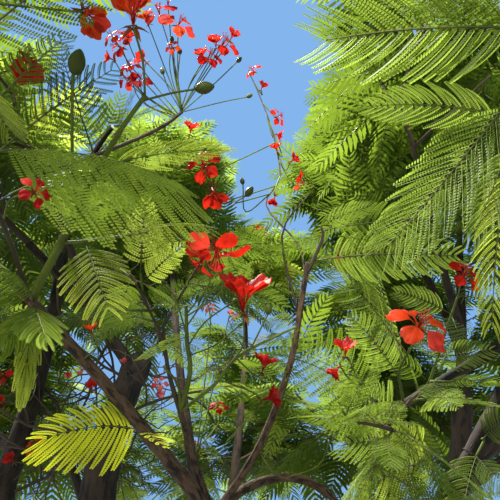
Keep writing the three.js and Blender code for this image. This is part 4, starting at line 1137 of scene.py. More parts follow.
# Flowers and buds that the photograph shows near by: what carries them and the share of it, their stalk's
# bend and end as pixel, pixel and depth, the way that they face as seen in the picture, their size in metres,
# their kind, and the tint of their petals by its place in BLOSSOM_FINISHES. Their order gives seeds.
# Crimson petals go to flowers that lie in shade and orange to sunlit ones, as painted shade and painted light
PLACED_HEADS = (
    ("centre_right", 0.4, (243, 345, 1.1), (243, 312, 1.0), (0.05, -1, -0.1), 0.09, "cup", 0),
    ("centre", 0.9, (222, 290, 1.12), (216, 246, 0.98), (0.15, 0.9, -0.4), 0.068, "open", 0),
    ("centre", 0.92, (210, 282, 1.12), (204, 258, 1.04), (-0.6, 0.6, -0.5), 0.05, "open", 0),
    ("centre_right", 0.62, (262, 326, 1.13), (268, 314, 1.12), (0.1, -1, 0), 0.026, "bud", 0),
    ("centre_right", 0.5, (256, 376, 1.2), (262, 372, 1.2), (0.3, -1, 0.3), 0.05, "cup", 1),
    ("centre_right", 0.3, (252, 392, 1.24), (262, 400, 1.24), (1, -0.4, -0.2), 0.05, "cup", 1),
    ("centre", 0.6, (205, 322, 1.2), (233, 302, 1.18), (0.8, -0.5, 0), 0.016, "bud", 0),
    ("centre", 0.8, (205, 300, 1.18), (223, 280, 1.16), (0.8, -0.9, 0), 0.016, "bud", 0),
    ("centre", 0.7, (176, 300, 1.2), (165, 285, 1.2), (-0.6, -0.9, 0), 0.016, "bud", 0),
    ("centre", 0.5, (215, 345, 1.2), (240, 325, 1.18), (0.8, -0.5, 0), 0.014, "bud", 0),
    ("bud_stalk", 1.0, (73, 76, 0.92), (74, 74, 0.92), (0.25, -1, 0), 0.05, "bud", 0),
    ("top_left", 1.0, (143, 62, 0.84), (133, 26, 0.8), (-0.1, -1, 0.1), 0.066, "cup", 2),
    ("top_left", 0.95, (172, 93, 0.88), (196, 89, 0.9), (1, -0.15, 0), 0.036, "bud", 0),
    ("left_edge", 0.93, (60, 10, 0.8), (84, 12, 0.84), (0.6, 0.6, -0.4), 0.05, "cup", 2),
    ("left_edge", 0.7, (10, 70, 0.95), (26, 58, 1.0), (0.3, 0.8, -0.5), 0.056, "cup", 0),
    ("left_edge", 0.3, (10, 200, 0.96), (34, 192, 0.76), (0.6, -0.2, -0.4), 0.026, "open", 1),
    ("high_stalk", 0.92, (140, 90, 1.9), (122, 48, 1.85), (-0.5, -0.3, -0.6), 0.06, "open", 0),
    ("high_stalk", 0.92, (150, 100, 1.9), (128, 78, 1.85), (-0.5, 0, -0.6), 0.05, "open", 1),
    ("high_stalk", 1.0, (176, 70, 1.78), (160, 16, 1.75), (-0.2, -0.6, -0.6), 0.066, "open", 0),
    ("high_stalk", 1.0, (178, 80, 1.78), (178, 26, 1.75), (0.3, -0.4, -0.6), 0.066, "open", 2),
    ("high_stalk", 1.0, (172, 90, 1.78), (146, 62, 1.75), (-0.4, -0.2, -0.6), 0.045, "cup", 0),
    ("high_stalk", 0.95, (190, 85, 1.8), (208, 58, 1.78), (0.4, -0.4, -0.5), 0.055, "open", 1),
    ("high_stalk", 0.95, (195, 88, 1.8), (222, 46, 1.78), (0.4, -0.4, -0.5), 0.066, "open", 0),
    ("high_stalk", 1.0, (170, 70, 1.8), (172, 42, 1.78), (0, -1, 0), 0.024, "bud", 0),
    ("high_stalk", 1.0, (178, 80, 1.8), (180, 54, 1.78), (0, -1, 0), 0.024, "bud", 0),
    ("high_stalk", 1.0, (170, 92, 1.8), (163, 74, 1.78), (-0.2, -1, 0), 0.026, "bud", 0),
    ("high_stalk", 1.0, (214, 84, 1.8), (237, 62, 1.78), (0.7, -0.7, 0), 0.026, "bud", 0),
    ("high_stalk", 1.0, (222, 102, 1.8), (247, 97, 1.78), (0.7, -0.3, 0), 0.024, "bud", 0),
    ("high_stalk", 0.7, (182, 150, 1.8), (190, 134, 1.78), (0.2, -0.8, -0.3), 0.05, "cup", 0),
    ("string", 0.62, (205, 175, 1.5), (204, 166, 1.45), (-0.1, -0.3, -0.8), 0.055, "open", 0),
    ("string", 0.45, (226, 200, 1.5), (212, 188, 1.4), (0.2, 0.8, -0.5), 0.062, "cup", 0),
    ("string", 0.4, (236, 203, 1.5), (246, 196, 1.45), (0.6, -0.8, 0), 0.036, "bud", 0),
    ("string", 0.4, (246, 212, 1.55), (243, 184, 1.5), (-0.2, -0.8, 0), 0.022, "bud", 0),
    ("string", 0.56, (290, 180, 1.65), (298, 181, 1.65), (0.9, 0.2, -0.3), 0.036, "open", 0),
    ("string", 0.6, (285, 170, 1.65), (290, 162, 1.65), (0.6, -0.4, -0.3), 0.036, "cup", 0),
    ("string", 0.5, (275, 190, 1.6), (275, 196, 1.6), (-0.3, 0.8, -0.3), 0.034, "cup", 0),
    ("string", 0.7, (282, 155, 1.7), (277, 152, 1.7), (-0.2, -0.8, 0), 0.034, "cup", 0),
    ("string", 0.78, (278, 120, 1.75), (277, 117, 1.75), (0.6, -0.2, -0.4), 0.036, "open", 0),
    ("string", 0.74, (272, 136, 1.75), (274, 134, 1.75), (0.8, 0.2, 0), 0.036, "cup", 0),
    ("string", 0.9, (262, 95, 1.8), (261, 90, 1.8), (0.3, -0.6, 0), 0.034, "cup", 0),
    ("string", 1.0, (252, 72, 1.85), (254, 72, 1.85), (-0.4, -0.6, 0), 0.036, "open", 0),
    ("right_stalk", 1.0, (418, 336, 1.12), (418, 328, 1.06), (0.1, -0.8, -0.5), 0.07, "open", 2),
    ("right_stalk_low", 1.0, (352, 366, 1.3), (345, 356, 1.28), (0, -1, -0.2), 0.05, "cup", 1),
    ("right_stalk_low", 0.9, (350, 380, 1.34), (340, 366, 1.3), (-0.6, 0.6, -0.2), 0.04, "cup", 1),
    ("right_stalk_out", 1.0, (460, 286, 1.3), (463, 276, 1.16), (0.3, -0.4, -0.6), 0.045, "open", 0),
    ("near_left_limb", 0.75, (98, 345, 1.15), (92, 334, 1.2), (-0.2, -1, 0), 0.03, "cup", 2),
    ("near_arched_limb", 0.5, (318, 466, 1.5), (330, 440, 1.5), (0.2, -1, 0), 0.02, "bud", 0),
    ("high_stalk", 0.9, (134, 70, 1.85), (114, 38, 1.8), (-0.4, -0.6, -0.5), 0.045, "open", 0),
    ("high_stalk", 0.94, (140, 66, 1.85), (128, 42, 1.8), (0.2, -0.6, -0.6), 0.04, "cup", 0),
    ("high_stalk", 0.88, (132, 86, 1.85), (114, 60, 1.8), (-0.7, -0.2, -0.3), 0.04, "cup", 0),
    ("high_stalk", 0.86, (140, 100, 1.85), (130, 68, 1.82), (-0.2, -0.7, -0.5), 0.042, "open", 0),
    ("high_stalk", 0.9, (146, 104, 1.85), (140, 82, 1.82), (0.1, -0.6, -0.6), 0.05, "open", 1),
    ("high_stalk", 1.0, (164, 66, 1.8), (148, 24, 1.76), (-0.3, -0.7, -0.5), 0.05, "cup", 2),
    ("high_stalk", 1.0, (174, 70, 1.8), (168, 6, 1.76), (0.2, -0.8, -0.4), 0.06, "cup", 0),
    ("high_stalk", 1.0, (176, 76, 1.8), (173, 48, 1.76), (-0.1, -0.3, -0.9), 0.03, "open", 2),
    ("high_stalk", 0.96, (190, 84, 1.8), (204, 60, 1.76), (-0.3, -0.7, -0.5), 0.045, "cup", 0),
    ("high_stalk", 0.96, (196, 84, 1.8), (216, 48, 1.76), (0, -0.8, -0.5), 0.05, "cup", 1),
    ("high_stalk", 0.96, (200, 84, 1.8), (230, 40, 1.76), (0.5, -0.6, -0.5), 0.045, "cup", 0),
    ("sawn_side_limb", 0.1, (126, 352, 2.4), (124, 364, 2.35), (0, -1, -0.4), 0.03, "cup", 6),
    ("sawn_side_limb", 0.3, (94, 352, 2.4), (82, 370, 2.3), (-0.2, -0.7, -0.5), 0.03, "open", 6),
    ("sawn_side_limb", 0.4, (80, 352, 2.4), (68, 378, 2.3), (0.2, -0.7, -0.5), 0.03, "cup", 6),
    ("sawn_side_limb", 0.34, (96, 372, 2.4), (92, 390, 2.3), (0, -0.8, -0.5), 0.05, "cup", 0),
    ("sawn_bough", 0.98, (160, 392, 2.5), (160, 384, 2.45), (0.2, -0.8, -0.5), 0.045, "open", 6),
    ("sawn_bough", 0.96, (164, 404, 2.5), (158, 396, 2.4), (0.4, -0.4, -0.5), 0.0375, "cup", 6),
    ("sawn_bough", 0.7, (60, 446, 2.0), (36, 446, 1.9), (-0.3, -0.7, -0.5), 0.045, "open", 2),
    ("sawn_bough", 0.72, (50, 462, 2.0), (14, 462, 1.9), (-0.3, -0.7, -0.5), 0.045, "cup", 0),
    ("left_upright", 0.3, (30, 400, 2.3), (4, 405, 2.2), (-0.3, -0.7, -0.5), 0.05, "cup", 0),
    ("left_upright", 0.32, (30, 384, 2.3), (4, 378, 2.2), (-0.3, -0.7, -0.5), 0.05, "open", 0),
    ("near_centre_limb", 0.6, (218, 424, 1.6), (218, 408, 1.6), (0.2, -0.9, -0.3), 0.034, "open", 0),
    ("near_centre_limb", 0.5, (210, 330, 1.8), (209, 308, 1.8), (0, -0.8, -0.5), 0.024, "open", 6),
    ("near_centre_limb", 0.5, (226, 330, 1.8), (230, 316, 1.8), (0.2, -0.8, -0.5), 0.0225, "cup", 6),
)
# Bare twigs: their limb, the share of it where they start, the way that they point in the picture, and their
# length in metres
BARE_TWIGS = (
    ("sawn_side_limb", 0.1, (-0.7, 0.7, 0.2), 0.42), ("sawn_side_limb", 0.25, (-0.3, 1, 0.1), 0.5),
    ("sawn_side_limb", 0.45, (0.1, 1, 0.2), 0.55), ("sawn_side_limb", 0.6, (0.2, 1, 0.3), 0.6),
    ("left_upright", 0.02, (1, -0.4, 0.3), 0.6), ("left_upright", 0.14, (1, 0.1, 0.2), 0.55),
    ("left_upright", 0.22, (1, 0.5, 0.2), 0.5), ("sawn_bough", 0.8, (-1, 0.3, 0.2), 0.5),
    ("sawn_bough", 0.9, (-1, -0.1, 0.2), 0.45), ("sawn_bough", 0.96, (1, 0.3, 0.2), 0.3),
    ("left_upright", 0.6, (1, -0.3, 0), 0.5), ("hooked_stub", 0.6, (0.6, -0.6, 0.2), 0.3),
    ("left_upright", 0.08, (-0.6, 0.5, -0.3), 0.5), ("left_upright", 0.3, (1, 0.7, -0.2), 0.5),
    ("sawn_bough", 0.7, (-1, 0.1, -0.2), 0.5), ("sawn_bough", 0.62, (-1, -0.3, 0), 0.5),
    ("sawn_bough", 0.75, (1, -0.2, 0.1), 0.45), ("sawn_side_limb", 0.75, (-0.1, 1, 0.1), 0.5),
)


# Their radius, forks and steps, in degrees the wander of a step and the least turn of a fork and its spread,
# and how much shorter and thinner a fork is
BARE_RADIUS, BARE_FORKS, BARE_STEPS, BARE_WANDER = 0.0085, 2, 3, 50
BARE_TURN, BARE_TURN_SPREAD, BARE_SHORTER, BARE_THINNER, BARE_SEED = 38, 30, 0.5, 0.6, 77


def bare_twig_paths():
    """Bare twigs that fork twice: their points and their radius."""
    random = seeded(BARE_SEED)
    twigs = []
    for carrier, share, way, length in BARE_TWIGS:
        grow = [(point_on(PATHS[carrier], share), unit(sighted(*way)), length, BARE_RADIUS, 0)]
        while grow:
            start, way, length, radius, forks = grow.pop()
            points = [start]
            for step in range(BARE_STEPS):
                way = turned_about(way, LOOK, BARE_WANDER * (next(random) - 0.5))
                points.append(points[-1] + way * length / BARE_STEPS)
                if forks < BARE_FORKS:
                    turn = (BARE_TURN + BARE_TURN_SPREAD * next(random)) * (1 if step % 2 else -1)
                    fork_way = turned_about(way, LOOK, turn)
                    grow.append((points[-1], fork_way, length * BARE_SHORTER, radius * BARE_THINNER,
                                 forks + 1))
            points = np.array(points)
            if is_clear_of_limbs(points[1:], radius).all():
                twigs.append((points, radius))
    return twigs


PLACED = {}


def carried_at(carrier, share):
    """A place on a limb or on a shoot that the photograph shows."""
    return point_on(PATHS[carrier] if carrier in PATHS else PLACED[carrier], share)


for shoot_name, (shoot_carrier, shoot_share, shoot_points, _, _) in SHOOTS.items():
    shoot_path = [carried_at(shoot_carrier, shoot_share)] + [pixel(*point) for point in shoot_points]
    PLACED[shoot_name] = rounded(np.array(shoot_path), 4 * len(shoot_points) + 1)


def sighted(across, down, away):
    """A way from how it looks in the picture."""
    return across * ACROSS - down * LOOK_UP + away * LOOK


class Growth:
    """Everything that grows on the limbs, worked out once and shared by the pieces."""

    def __init__(self):
        self.stems = []
        self.shoots = []
        self.leaves = []
        self.heads = []
        for mass in MASSES:
            self.grow(mass)

    def grow(self, mass):
        random = seeded(mass.seed)
        more = seeded(mass.seed * 5 + 3)
        stem = stem_path(mass)
        furthest = STEM_LEAST
        for index in range(TWIGS):
            twig = twig_rule(random, mass, stem, index)
            blades = [blade_rule(random, mass, twig, leaf) for leaf in range(LEAVES)]
            if not twig_is_free(mass, twig.path):
                continue
            thick = min(TWIG_THICKEST, TWIG_THICKNESS * mass.tip)
            reached = self.grow_twig(mass, more, twig, blades, (thick, thick * TWIG_TAPER))
            if reached > 0:
                furthest = max(furthest, twig.share)
            end = twig.path[1]
            is_far = depth_in_picture(end, HEADS_MARGIN) >= HEADS_FROM
            if index in HEAD_TWIGS and reached > HEAD_REACHED and is_far:
                self.heads.append((end, unit(twig.way + UP * BLOSSOM_RISE)))
        path = np.array([point_on(stem, furthest * share) for share in (0, 0.5, 1)])
        radii = mass.tip * STEM_FOOT, mass.tip * (1 - STEM_THINNING * furthest)
        self.stems.append((path, radii, mass))

    def grow_twig(self, mass, more, twig, blades, radii):
        """Sprays and finer twigs along a twig. Tells how far along it the last one grows."""
        reached = 0
        for index, blade in enumerate(blades):
            if self.grow_spray(mass, more, blade):
                place = TWIG_ONWARD + LEAF_FIRST + (LEAF_LAST - LEAF_FIRST) * index / (LEAVES - 1)
                reached = max(reached, place)
        if radii is not FINE_TWIG_RADII and not is_near(mass):
            span = np.linalg.norm(twig.path[1] - twig.path[0])
            for index, share in enumerate(FINE_TWIGS):
                roll = index * TURN_PER_TWIG + FINE_ROLL + FINE_ROLL_SPREAD * next(more)
                way = opened(twig.way, roll, FINE_OPEN + FINE_OPEN_SPREAD * next(more))
                way = unit(way + UP * TWIG_RISE)
                foot = point_on(twig.path, share)
                length = span * (FINE_LENGTH + FINE_LENGTH_SPREAD * next(more))
                fine = Twig(share, way, np.array([foot, foot + way * length]))
                finer = [blade_rule(more, mass, fine, leaf) for leaf in FINE_BLADES]
                if twig_is_free(mass, fine.path) and self.grow_twig(mass, more, fine, finer, FINE_TWIG_RADII):
                    reached = max(reached, share)
        if reached:
            foot, tip = twig.path[0], point_on(twig.path, min(1, reached))
            middle = (foot + tip) / 2 + UP * TWIG_BOW * np.linalg.norm(tip - foot)
            self.shoots.append((np.array([foot, middle, tip]), radii, mass))
        return reached

    def grow_spray(self, mass, more, blade):
        """The leaves of a spray that have room, and its shoot if there are any. Tells how many."""
        face = np.cross(blade.way, blade.side)
        tint = next(more)
        grown = 0
        for share, yaw, pitch, size in FULL_SPRAY if mass.limb in FULL_LIMBS else SPRAY:
            way = turned_about(blade.way, face, yaw + YAW_SPREAD * (next(more) - 0.5))
            way = turned_about(way, blade.side, pitch + PITCH_SPREAD * (next(more) - 0.5))
            side = side_of(way, LEAN_SPREAD * (next(more) - 0.5))
            root = blade.root + blade.way * blade.length * share
            length = blade.length * size * (LENGTH_LEAST + LENGTH_SPREAD * next(more))
            droop = DROOP_LEAST + DROOP_SPREAD * next(more)
            if leaf_is_free(mass, root, way, side, length):
                self.leaves.append((root, way, side, length, droop, tint, mass))
                grown += 1
        if grown:
            path = np.array([blade.root, blade.root + blade.way * blade.length * SHOOT_SHARE])
            self.shoots.append((path, SHOOT_RADII, mass))
        return grown


@cache
def growth():
    return Growth()


# Pieces of foliage: near ones round the viewpoint, and the rest by their side of the tree
GROUPS = ("near", "left", "right", "back")
NEAR_MASSES = ("front_left_limb", "front_right_limb", "drooping_limb")
BACK_FROM = 0.9


def group_of(mass):
    if is_near(mass) or mass.limb in NEAR_MASSES:
        return "near"
    if mass.middle[1] > BACK_FROM:
        return "back"
    return "left" if mass.middle[0] < 0 else "right"


def nodes_of(group):
    return [mass.node for mass in MASSES if group_of(mass) == group]


# Tubes of twigs: corners of thick and fine ones, and rings of stems, twigs, shoots and bare twigs
THICK_SIDES, FINE_SIDES, STEM_RINGS, TWIG_RINGS, SHOOT_RINGS, BARE_RINGS = 8, 5, 10, 4, 3, 7
# How deep a stem's foot is sunk into its limb, in metres
STEM_SUNK = 0.006
# Tints of a heap of twigs
WOODY, GREEN = 0, 1


def twig_pieces(finishes):
    heaps = {group: Heap([finishes["twig"], finishes["green_stalk"]]) for group in GROUPS}
    for path, radii, mass in growth().stems:
        foot = path[0] - unit(path[1] - path[0]) * STEM_SUNK
        points = rounded(np.concatenate([[foot], path[1:]]), STEM_RINGS)
        add_tube(heaps[group_of(mass)], points, radii, THICK_SIDES, WOODY)
    for path, radii, mass in growth().shoots:
        rings, tint = (TWIG_RINGS, WOODY) if len(path) > 2 else (SHOOT_RINGS, GREEN)
        add_tube(heaps[group_of(mass)], rounded(path, rings), radii, FINE_SIDES, tint)
    for name, (_, _, _, radii, colour) in SHOOTS.items():
        add_tube(heaps["near"], PLACED[name], radii, THICK_SIDES, WOODY if colour == "brown" else GREEN)
    for points, radius in bare_twig_paths():
        radii = radius, radius * BARE_THINNER
        add_tube(heaps["left"], rounded(points, BARE_RINGS), radii, FINE_SIDES, WOODY)
    for group, heap in heaps.items():
        finish_piece(heap.into_object("twigs_" + group))


LEAF_FINISHES = ("leaf_deep", "leaf_mid", "leaf_light", "leaf_sunny", "leaf_rib_painted_glint", "leaf_stalk", "leaf_lit_yellow")
RIB_TINT, STALK_TINT, LIT_YELLOW_TINT = 4, 5, 6
# How many leaves in a crowd have each of the first four tints: of all, and of those on limbs in the crown's
# shade, where the darker tints are painted shade
LEAF_WEIGHTS, PAINTED_SHADE_WEIGHTS = (3, 5, 2.2, 0.6), (6, 4, 0.6, 0)
# Triangles after which a piece of leaves is full, and the sag of its leaves' sides
LEAVES_FULL, LEAF_SAG = 190000, 0.03
PLACED_FULL, PLACED_SAG = 100000, 0.02
# A placed leaf's arch: its least, and the droop in degrees that adds 1 to it
ARCH_LEAST, ARCH_DROOP = 0.05, 110
ARCH_ROUNDS = 6
# How many different leaves of each grade there are
LEAF_KINDS = 3


def tint_of(share, weights):
    return int(np.searchsorted(np.cumsum(weights), share * sum(weights)))


def placed_leaves(finishes):
    """The near leaves of the photograph, each rooted on its shoot."""
    heaps = [Heap([finishes[name] for name in LEAF_FINISHES])]
    for number, row in enumerate(PLACED_LEAVES):
        if heaps[-1].triangles > PLACED_FULL:
            heaps.append(Heap(heaps[0].materials))
        carrier, share, tip, side, drop, pairs, reach, sweep_foot, sweep_tip, leaflets, fold, tint, rib = row
        spread, wide = (LIT_YELLOW_SPREAD, LIT_YELLOW_WIDE) if tint == LIT_YELLOW_TINT else (PLACED_SPREAD, PLACED_WIDE)
        grade = Grade(pairs, reach, sweep_foot, sweep_tip, leaflets, PLACED_SIDES, spread, wide, fold,
                      PLACED_RINGS)
        root = carried_at(carrier, share)
        span = pixel(*tip) - root
        arch = ARCH_LEAST + drop / ARCH_DROOP
        length = np.linalg.norm(span)
        for _ in range(ARCH_ROUNDS):
            length = np.linalg.norm(span + UP * length * arch)
        way = unit(span + UP * length * arch)
        across = sighted(*side)
        across = unit(across - way * (across @ way))
        shape = leaf_shape(grade, 31 + 7 * number)
        tints = [tint, rib, STALK_TINT]
        add_leaf(heaps[-1], shape, root, way, across, length, arch, PLACED_SAG, tints, drop)
    for number, heap in enumerate(heaps):
        finish_piece(heap.into_object(f"leaves_placed_{number + 1}"))


def leaf_pieces(finishes):
    """The placed leaves, and those of the sprays in place of the masses."""
    shapes = {name: [leaf_shape(grade, 11 + 5 * seed) for seed in range(LEAF_KINDS)]
              for name, grade in GRADES.items()}
    heaps = {group: [Heap([finishes[name] for name in LEAF_FINISHES])] for group in GROUPS}
    for index, (root, way, side, length, droop, tint, mass) in enumerate(growth().leaves):
        group = group_of(mass)
        shape = shapes[grade_at(root + way * length * 0.5)][index % LEAF_KINDS]
        heap = heaps[group][-1]
        if heap.triangles > LEAVES_FULL:
            heap = Heap(heap.materials)
            heaps[group].append(heap)
        # Leaves on limbs in the crown's shade are dealt darker tints: painted shade
        weights = PAINTED_SHADE_WEIGHTS if mass.limb in SHADED else LEAF_WEIGHTS
        tints = [tint_of(tint, weights), RIB_TINT, STALK_TINT]
        add_leaf(heap, shape, root, way, side, length, droop, LEAF_SAG, tints)
    placed_leaves(finishes)
    for group, parts in heaps.items():
        for number, heap in enumerate(parts):
            piece = heap.into_object(f"leaves_{group}_{number + 1}")
            finish_piece(piece, nodes_of(group))


BLOSSOM_FINISHES = ("petal_scarlet", "petal_crimson", "petal_orange", "petal_pale", "sepal", "stamen",
                    "petal_pink")
# Tints of a flower's standard, sepals and stamens
FLOWER_TINTS = (3, 4, 5)
# Tints of the heap of stalks and buds
STALK, BUD = 0, 1
# Kinds of placed flower: steps of a petal, first seed, and the petals' lift and bend in degrees
FLOWER_KINDS = {"cup": (9, 41, 80, 24), "open": (8, 61, 40, 44)}
PLACED_STALK, BUD_SUNK = (0.0022, 0.0019), 0.002
# A head of blossom that the rule grows: its stalks, how many of them bear flowers, and in metres its axis
# with its spread, its first stalk and how much shorter the last is, and its flowers and buds
HEAD_STALKS, HEAD_FLOWERS, HEAD_AXIS, HEAD_AXIS_SPREAD = 8, 5, 0.12, 0.06
HEAD_REACH, HEAD_SHORTENING, FLOWER_SIZE, BUD_SIZE = 0.075, 0.03, 0.062, 0.026
# Where on the axis its first stalk starts, how far in degrees it opens and how much less the last one, the
# wander of their roll, and how much stalks and flowers turn up
HEAD_START, HEAD_OPEN, HEAD_CLOSING, HEAD_ROLL_SPREAD = 0.2, 70, 45, 30
STALK_RISE, FLOWER_RISE = 0.25, 0.3
AXIS_RADII, HEAD_STALK_RADII, STALK_SAG = (0.004, 0.003), (0.0016, 0.0013), 0.004
# Petal tints, as often as they come, and the share of stalks before open sky that are left out
PETAL_TINTS, LEFT_OUT = (0, 0, 1, 2), 0.6


def placed_heads(flowers, stalks):
    """The near flowers and buds of the photograph, each on a stalk."""
    shapes = {kind: [flower_shape(fineness, first + 9 * seed, lift, bend) for seed in range(2)]
              for kind, (fineness, first, lift, bend) in FLOWER_KINDS.items()}
    bud = bud_shape(8)
    for number, (carrier, share, bend, end, facing, size, kind, tint) in enumerate(PLACED_HEADS):
        start, bend, end = carried_at(carrier, share), pixel(*bend), pixel(*end)
        way = unit(sighted(*facing))
        add_tube(stalks, rounded(np.array([start, bend, end]), 9), PLACED_STALK, 5, STALK)
        if kind == "bud":
            add_turned(stalks, bud, end - way * BUD_SUNK, way, size, 0, [BUD])
        else:
            tints = [tint, *FLOWER_TINTS]
            add_turned(flowers, shapes[kind][number % 2], end, way, size, 47 * number, tints)


def blossom_pieces(finishes):
    """The placed flowers and buds, and heads of blossom at the ends of twigs."""
    flowers = Heap([finishes[name] for name in BLOSSOM_FINISHES])
    stalks = Heap([finishes["green_stalk"], finishes["bud"]])
    shapes = [flower_shape(4, 3 + 11 * seed) for seed in range(3)]
    bud = bud_shape(5)
    placed_heads(flowers, stalks)
    for number, (root, way) in enumerate(growth().heads):
        random = seeded(900 + 13 * number)
        tip = root + way * (HEAD_AXIS + HEAD_AXIS_SPREAD * next(random))
        add_tube(stalks, rounded(np.array([root, (root + tip) / 2, tip]), 4), AXIS_RADII, 5, STALK)
        last = HEAD_STALKS - 1
        for index in range(HEAD_STALKS):
            start = root + (tip - root) * (HEAD_START + (1 - HEAD_START) * index / last)
            roll = index * TURN_PER_TWIG + HEAD_ROLL_SPREAD * next(random)
            out = opened(way, roll, HEAD_OPEN - HEAD_CLOSING * index / last)
            out = unit(out + UP * STALK_RISE)
            reach = HEAD_REACH - HEAD_SHORTENING * index / last
            end = start + out * reach
            if shows_in(end[None], SKY_GAPS)[0] and next(random) < LEFT_OUT:
                continue
            middle = start + out * reach * 0.5 - UP * STALK_SAG
            add_tube(stalks, rounded(np.array([start, middle, end]), 4), HEAD_STALK_RADII, 4, STALK)
            if index < HEAD_FLOWERS:
                tint = PETAL_TINTS[int(next(random) * len(PETAL_TINTS))]
                faced = unit(out + UP * FLOWER_RISE)
                add_turned(flowers, shapes[index % 3], end, faced, FLOWER_SIZE, 360 * next(random),
                           [tint, *FLOWER_TINTS])
            else:
                add_turned(stalks, bud, end - out * BUD_SUNK, out, BUD_SIZE, 0, [BUD])
    finish_piece(flowers.into_object("blossom"))
    finish_piece(stalks.into_object("buds_and_stalks"))


# The add-on: sizes and colours that a user would change, one operator a group of pieces, and a panel

def colour_of(text, default, description):
    return bpy.props.FloatVectorProperty(name=text, description=description, subtype="COLOR", size=3,
                                         min=0, max=1, default=default)


def strength_of(text, default, description):
    return bpy.props.FloatProperty(name=text, description=description, default=default, min=0)


class BarkSettings(bpy.types.PropertyGroup):
    depth: bpy.props.FloatProperty(
        name="Relief", description="Depth of the bark's lumps and grooves as a share of a limb's radius",
        default=0.09, min=0, max=0.3, subtype="FACTOR")
    ridge: colour_of("Ridge", (0.072, 0.038, 0.019), "Colour of the bark's ridges")
    groove: colour_of("Groove", (0.007, 0.004, 0.003), "Colour of the bark's grooves")
    lichen: colour_of("Lichen", (0.098, 0.062, 0.036), "Colour of the pale crust on the bark")


class LeafSettings(bpy.types.PropertyGroup):
    # The deep tint is partly the leaves' own darker green and partly painted shade for leaves on limbs in the
    # crown's shade
    deep: colour_of("Deep", (0.052, 0.086, 0.009), "Leaves in the shade of the crown")
    mid: colour_of("Mid", (0.095, 0.15, 0.014), "Most leaves")
    # Light and sunny are partly the leaves' own paler greens and partly painted light for placed leaves that
    # lie in shade
    light: colour_of("Light", (0.18, 0.26, 0.022), "Younger leaves")
    sunny: colour_of("Sunny", (0.34, 0.4, 0.03), "Yellow-green leaves")
    # Yellow leaves: the yellow is their own, and its brightness, near white, is partly painted light for
    # leaves that lie in shade
    lit_yellow: colour_of("Young", (0.9, 0.95, 0.03), "Young, yellow leaves")
    through: bpy.props.FloatProperty(
        name="Light through", description="Share of the light that comes through a leaf",
        default=0.46, min=0, max=1, subtype="FACTOR")


class BlossomSettings(bpy.types.PropertyGroup):
    # Crimson and orange are partly the petals' own reds and partly painted shade and painted light: crimson
    # for petals in shade, orange for petals the sun shines through
    scarlet: colour_of("Scarlet", (0.52, 0.011, 0.006), "Most petals")
    crimson: colour_of("Crimson", (0.3, 0.006, 0.008), "Petals in the shade")
    orange: colour_of("Orange", (0.7, 0.045, 0.008), "Petals that the sun shines through")


class StageSettings(bpy.types.PropertyGroup):
    sun: strength_of("Sun", 11.0, "Strength of the key light")
    fill: strength_of("Fill", 11.0, "Strength of the wide fill light")
    sky: strength_of("Sky", 1.0, "Strength of the light all round")
    backdrop: colour_of("Backdrop", (0.231, 0.462, 0.84), "Colour of the plain backdrop")
    floor_size: bpy.props.FloatProperty(name="Floor", description="Side of the floor", default=60.0,
                                        min=1, unit="LENGTH")


class TreeSettings(bpy.types.PropertyGroup):
    bark: bpy.props.PointerProperty(type=BarkSettings)
    leaf: bpy.props.PointerProperty(type=LeafSettings)
    blossom: bpy.props.PointerProperty(type=BlossomSettings)
    stage: bpy.props.PointerProperty(type=StageSettings)


# Barks: share of pale crust, and how fine their streaks are. The boughs have the same bark colours made
# darker: painted shade for the crown's shadow on them.
NEAR_BARK, BOUGH_BARK, TRUNK_BARK, TWIG_BARK = (0.12, 95.0), (0.3, 40.0), (0.9, 14.0), (0.35, 60.0)
BOUGH_PAINTED_SHADE = 0.36
TWIG_COLOURS = ((0.016, 0.011, 0.007), (0.05, 0.034, 0.02), (0.1, 0.078, 0.05))
CUT_COLOURS = ((0.52, 0.46, 0.38), (0.2, 0.16, 0.12))
# Colour of the light that comes through each kind of leaf and petal, and petals' own where no setting has it
LEAF_GLOWS = {"deep": (0.16, 0.25, 0.02), "mid": (0.25, 0.38, 0.03), "light": (0.37, 0.52, 0.07),
              "sunny": (0.54, 0.68, 0.08), "lit_yellow": (0.92, 0.96, 0.05)}
PETAL_GLOWS = {"scarlet": (0.88, 0.03, 0.01), "crimson": (0.75, 0.015, 0.012), "orange": (0.98, 0.1, 0.012),
               "pale": (0.88, 0.06, 0.03), "pink": (0.9, 0.22, 0.2)}
PETAL_COLOURS = {"pale": (0.54, 0.035, 0.025), "pink": (0.7, 0.15, 0.15)}
# The rest, which no setting changes: light, dark, glow, the share of light that comes through, and roughness
THIN_FINISHES = {
    # Leaf ribs: pale green, partly their own colour and partly a painted glint of sun along them
    "leaf_rib_painted_glint": ((0.42, 0.5, 0.2), (0.3, 0.38, 0.13), (0.6, 0.7, 0.3), 0.2, 0.7),
    "leaf_stalk": ((0.13, 0.16, 0.05), (0.08, 0.07, 0.03), (0.3, 0.4, 0.1), 0.1, 0.5),
    "green_stalk": ((0.13, 0.18, 0.03), (0.07, 0.09, 0.018), (0.3, 0.4, 0.1), 0.1, 0.75),
    "bud": ((0.075, 0.1, 0.014), (0.04, 0.055, 0.01), (0.3, 0.3, 0.05), 0.08, 0.5),
    "sepal": ((0.14, 0.05, 0.018), (0.05, 0.05, 0.014), (0.3, 0.06, 0.02), 0.15, 0.75),
    "stamen": ((0.5, 0.03, 0.015), (0.3, 0.01, 0.01), (0.6, 0.04, 0.02), 0.2, 0.5),
}
# Leaves and petals: how dark their dark parts are, the light that comes through, and the petals' patterns
DARK_PART, LIT_YELLOW_THROUGH, PETAL_THROUGH, PETAL_DIM, PETAL_SCALES = 0.6, 0.35, 0.45, 0.45, (30, 320)

FINISHES = {}


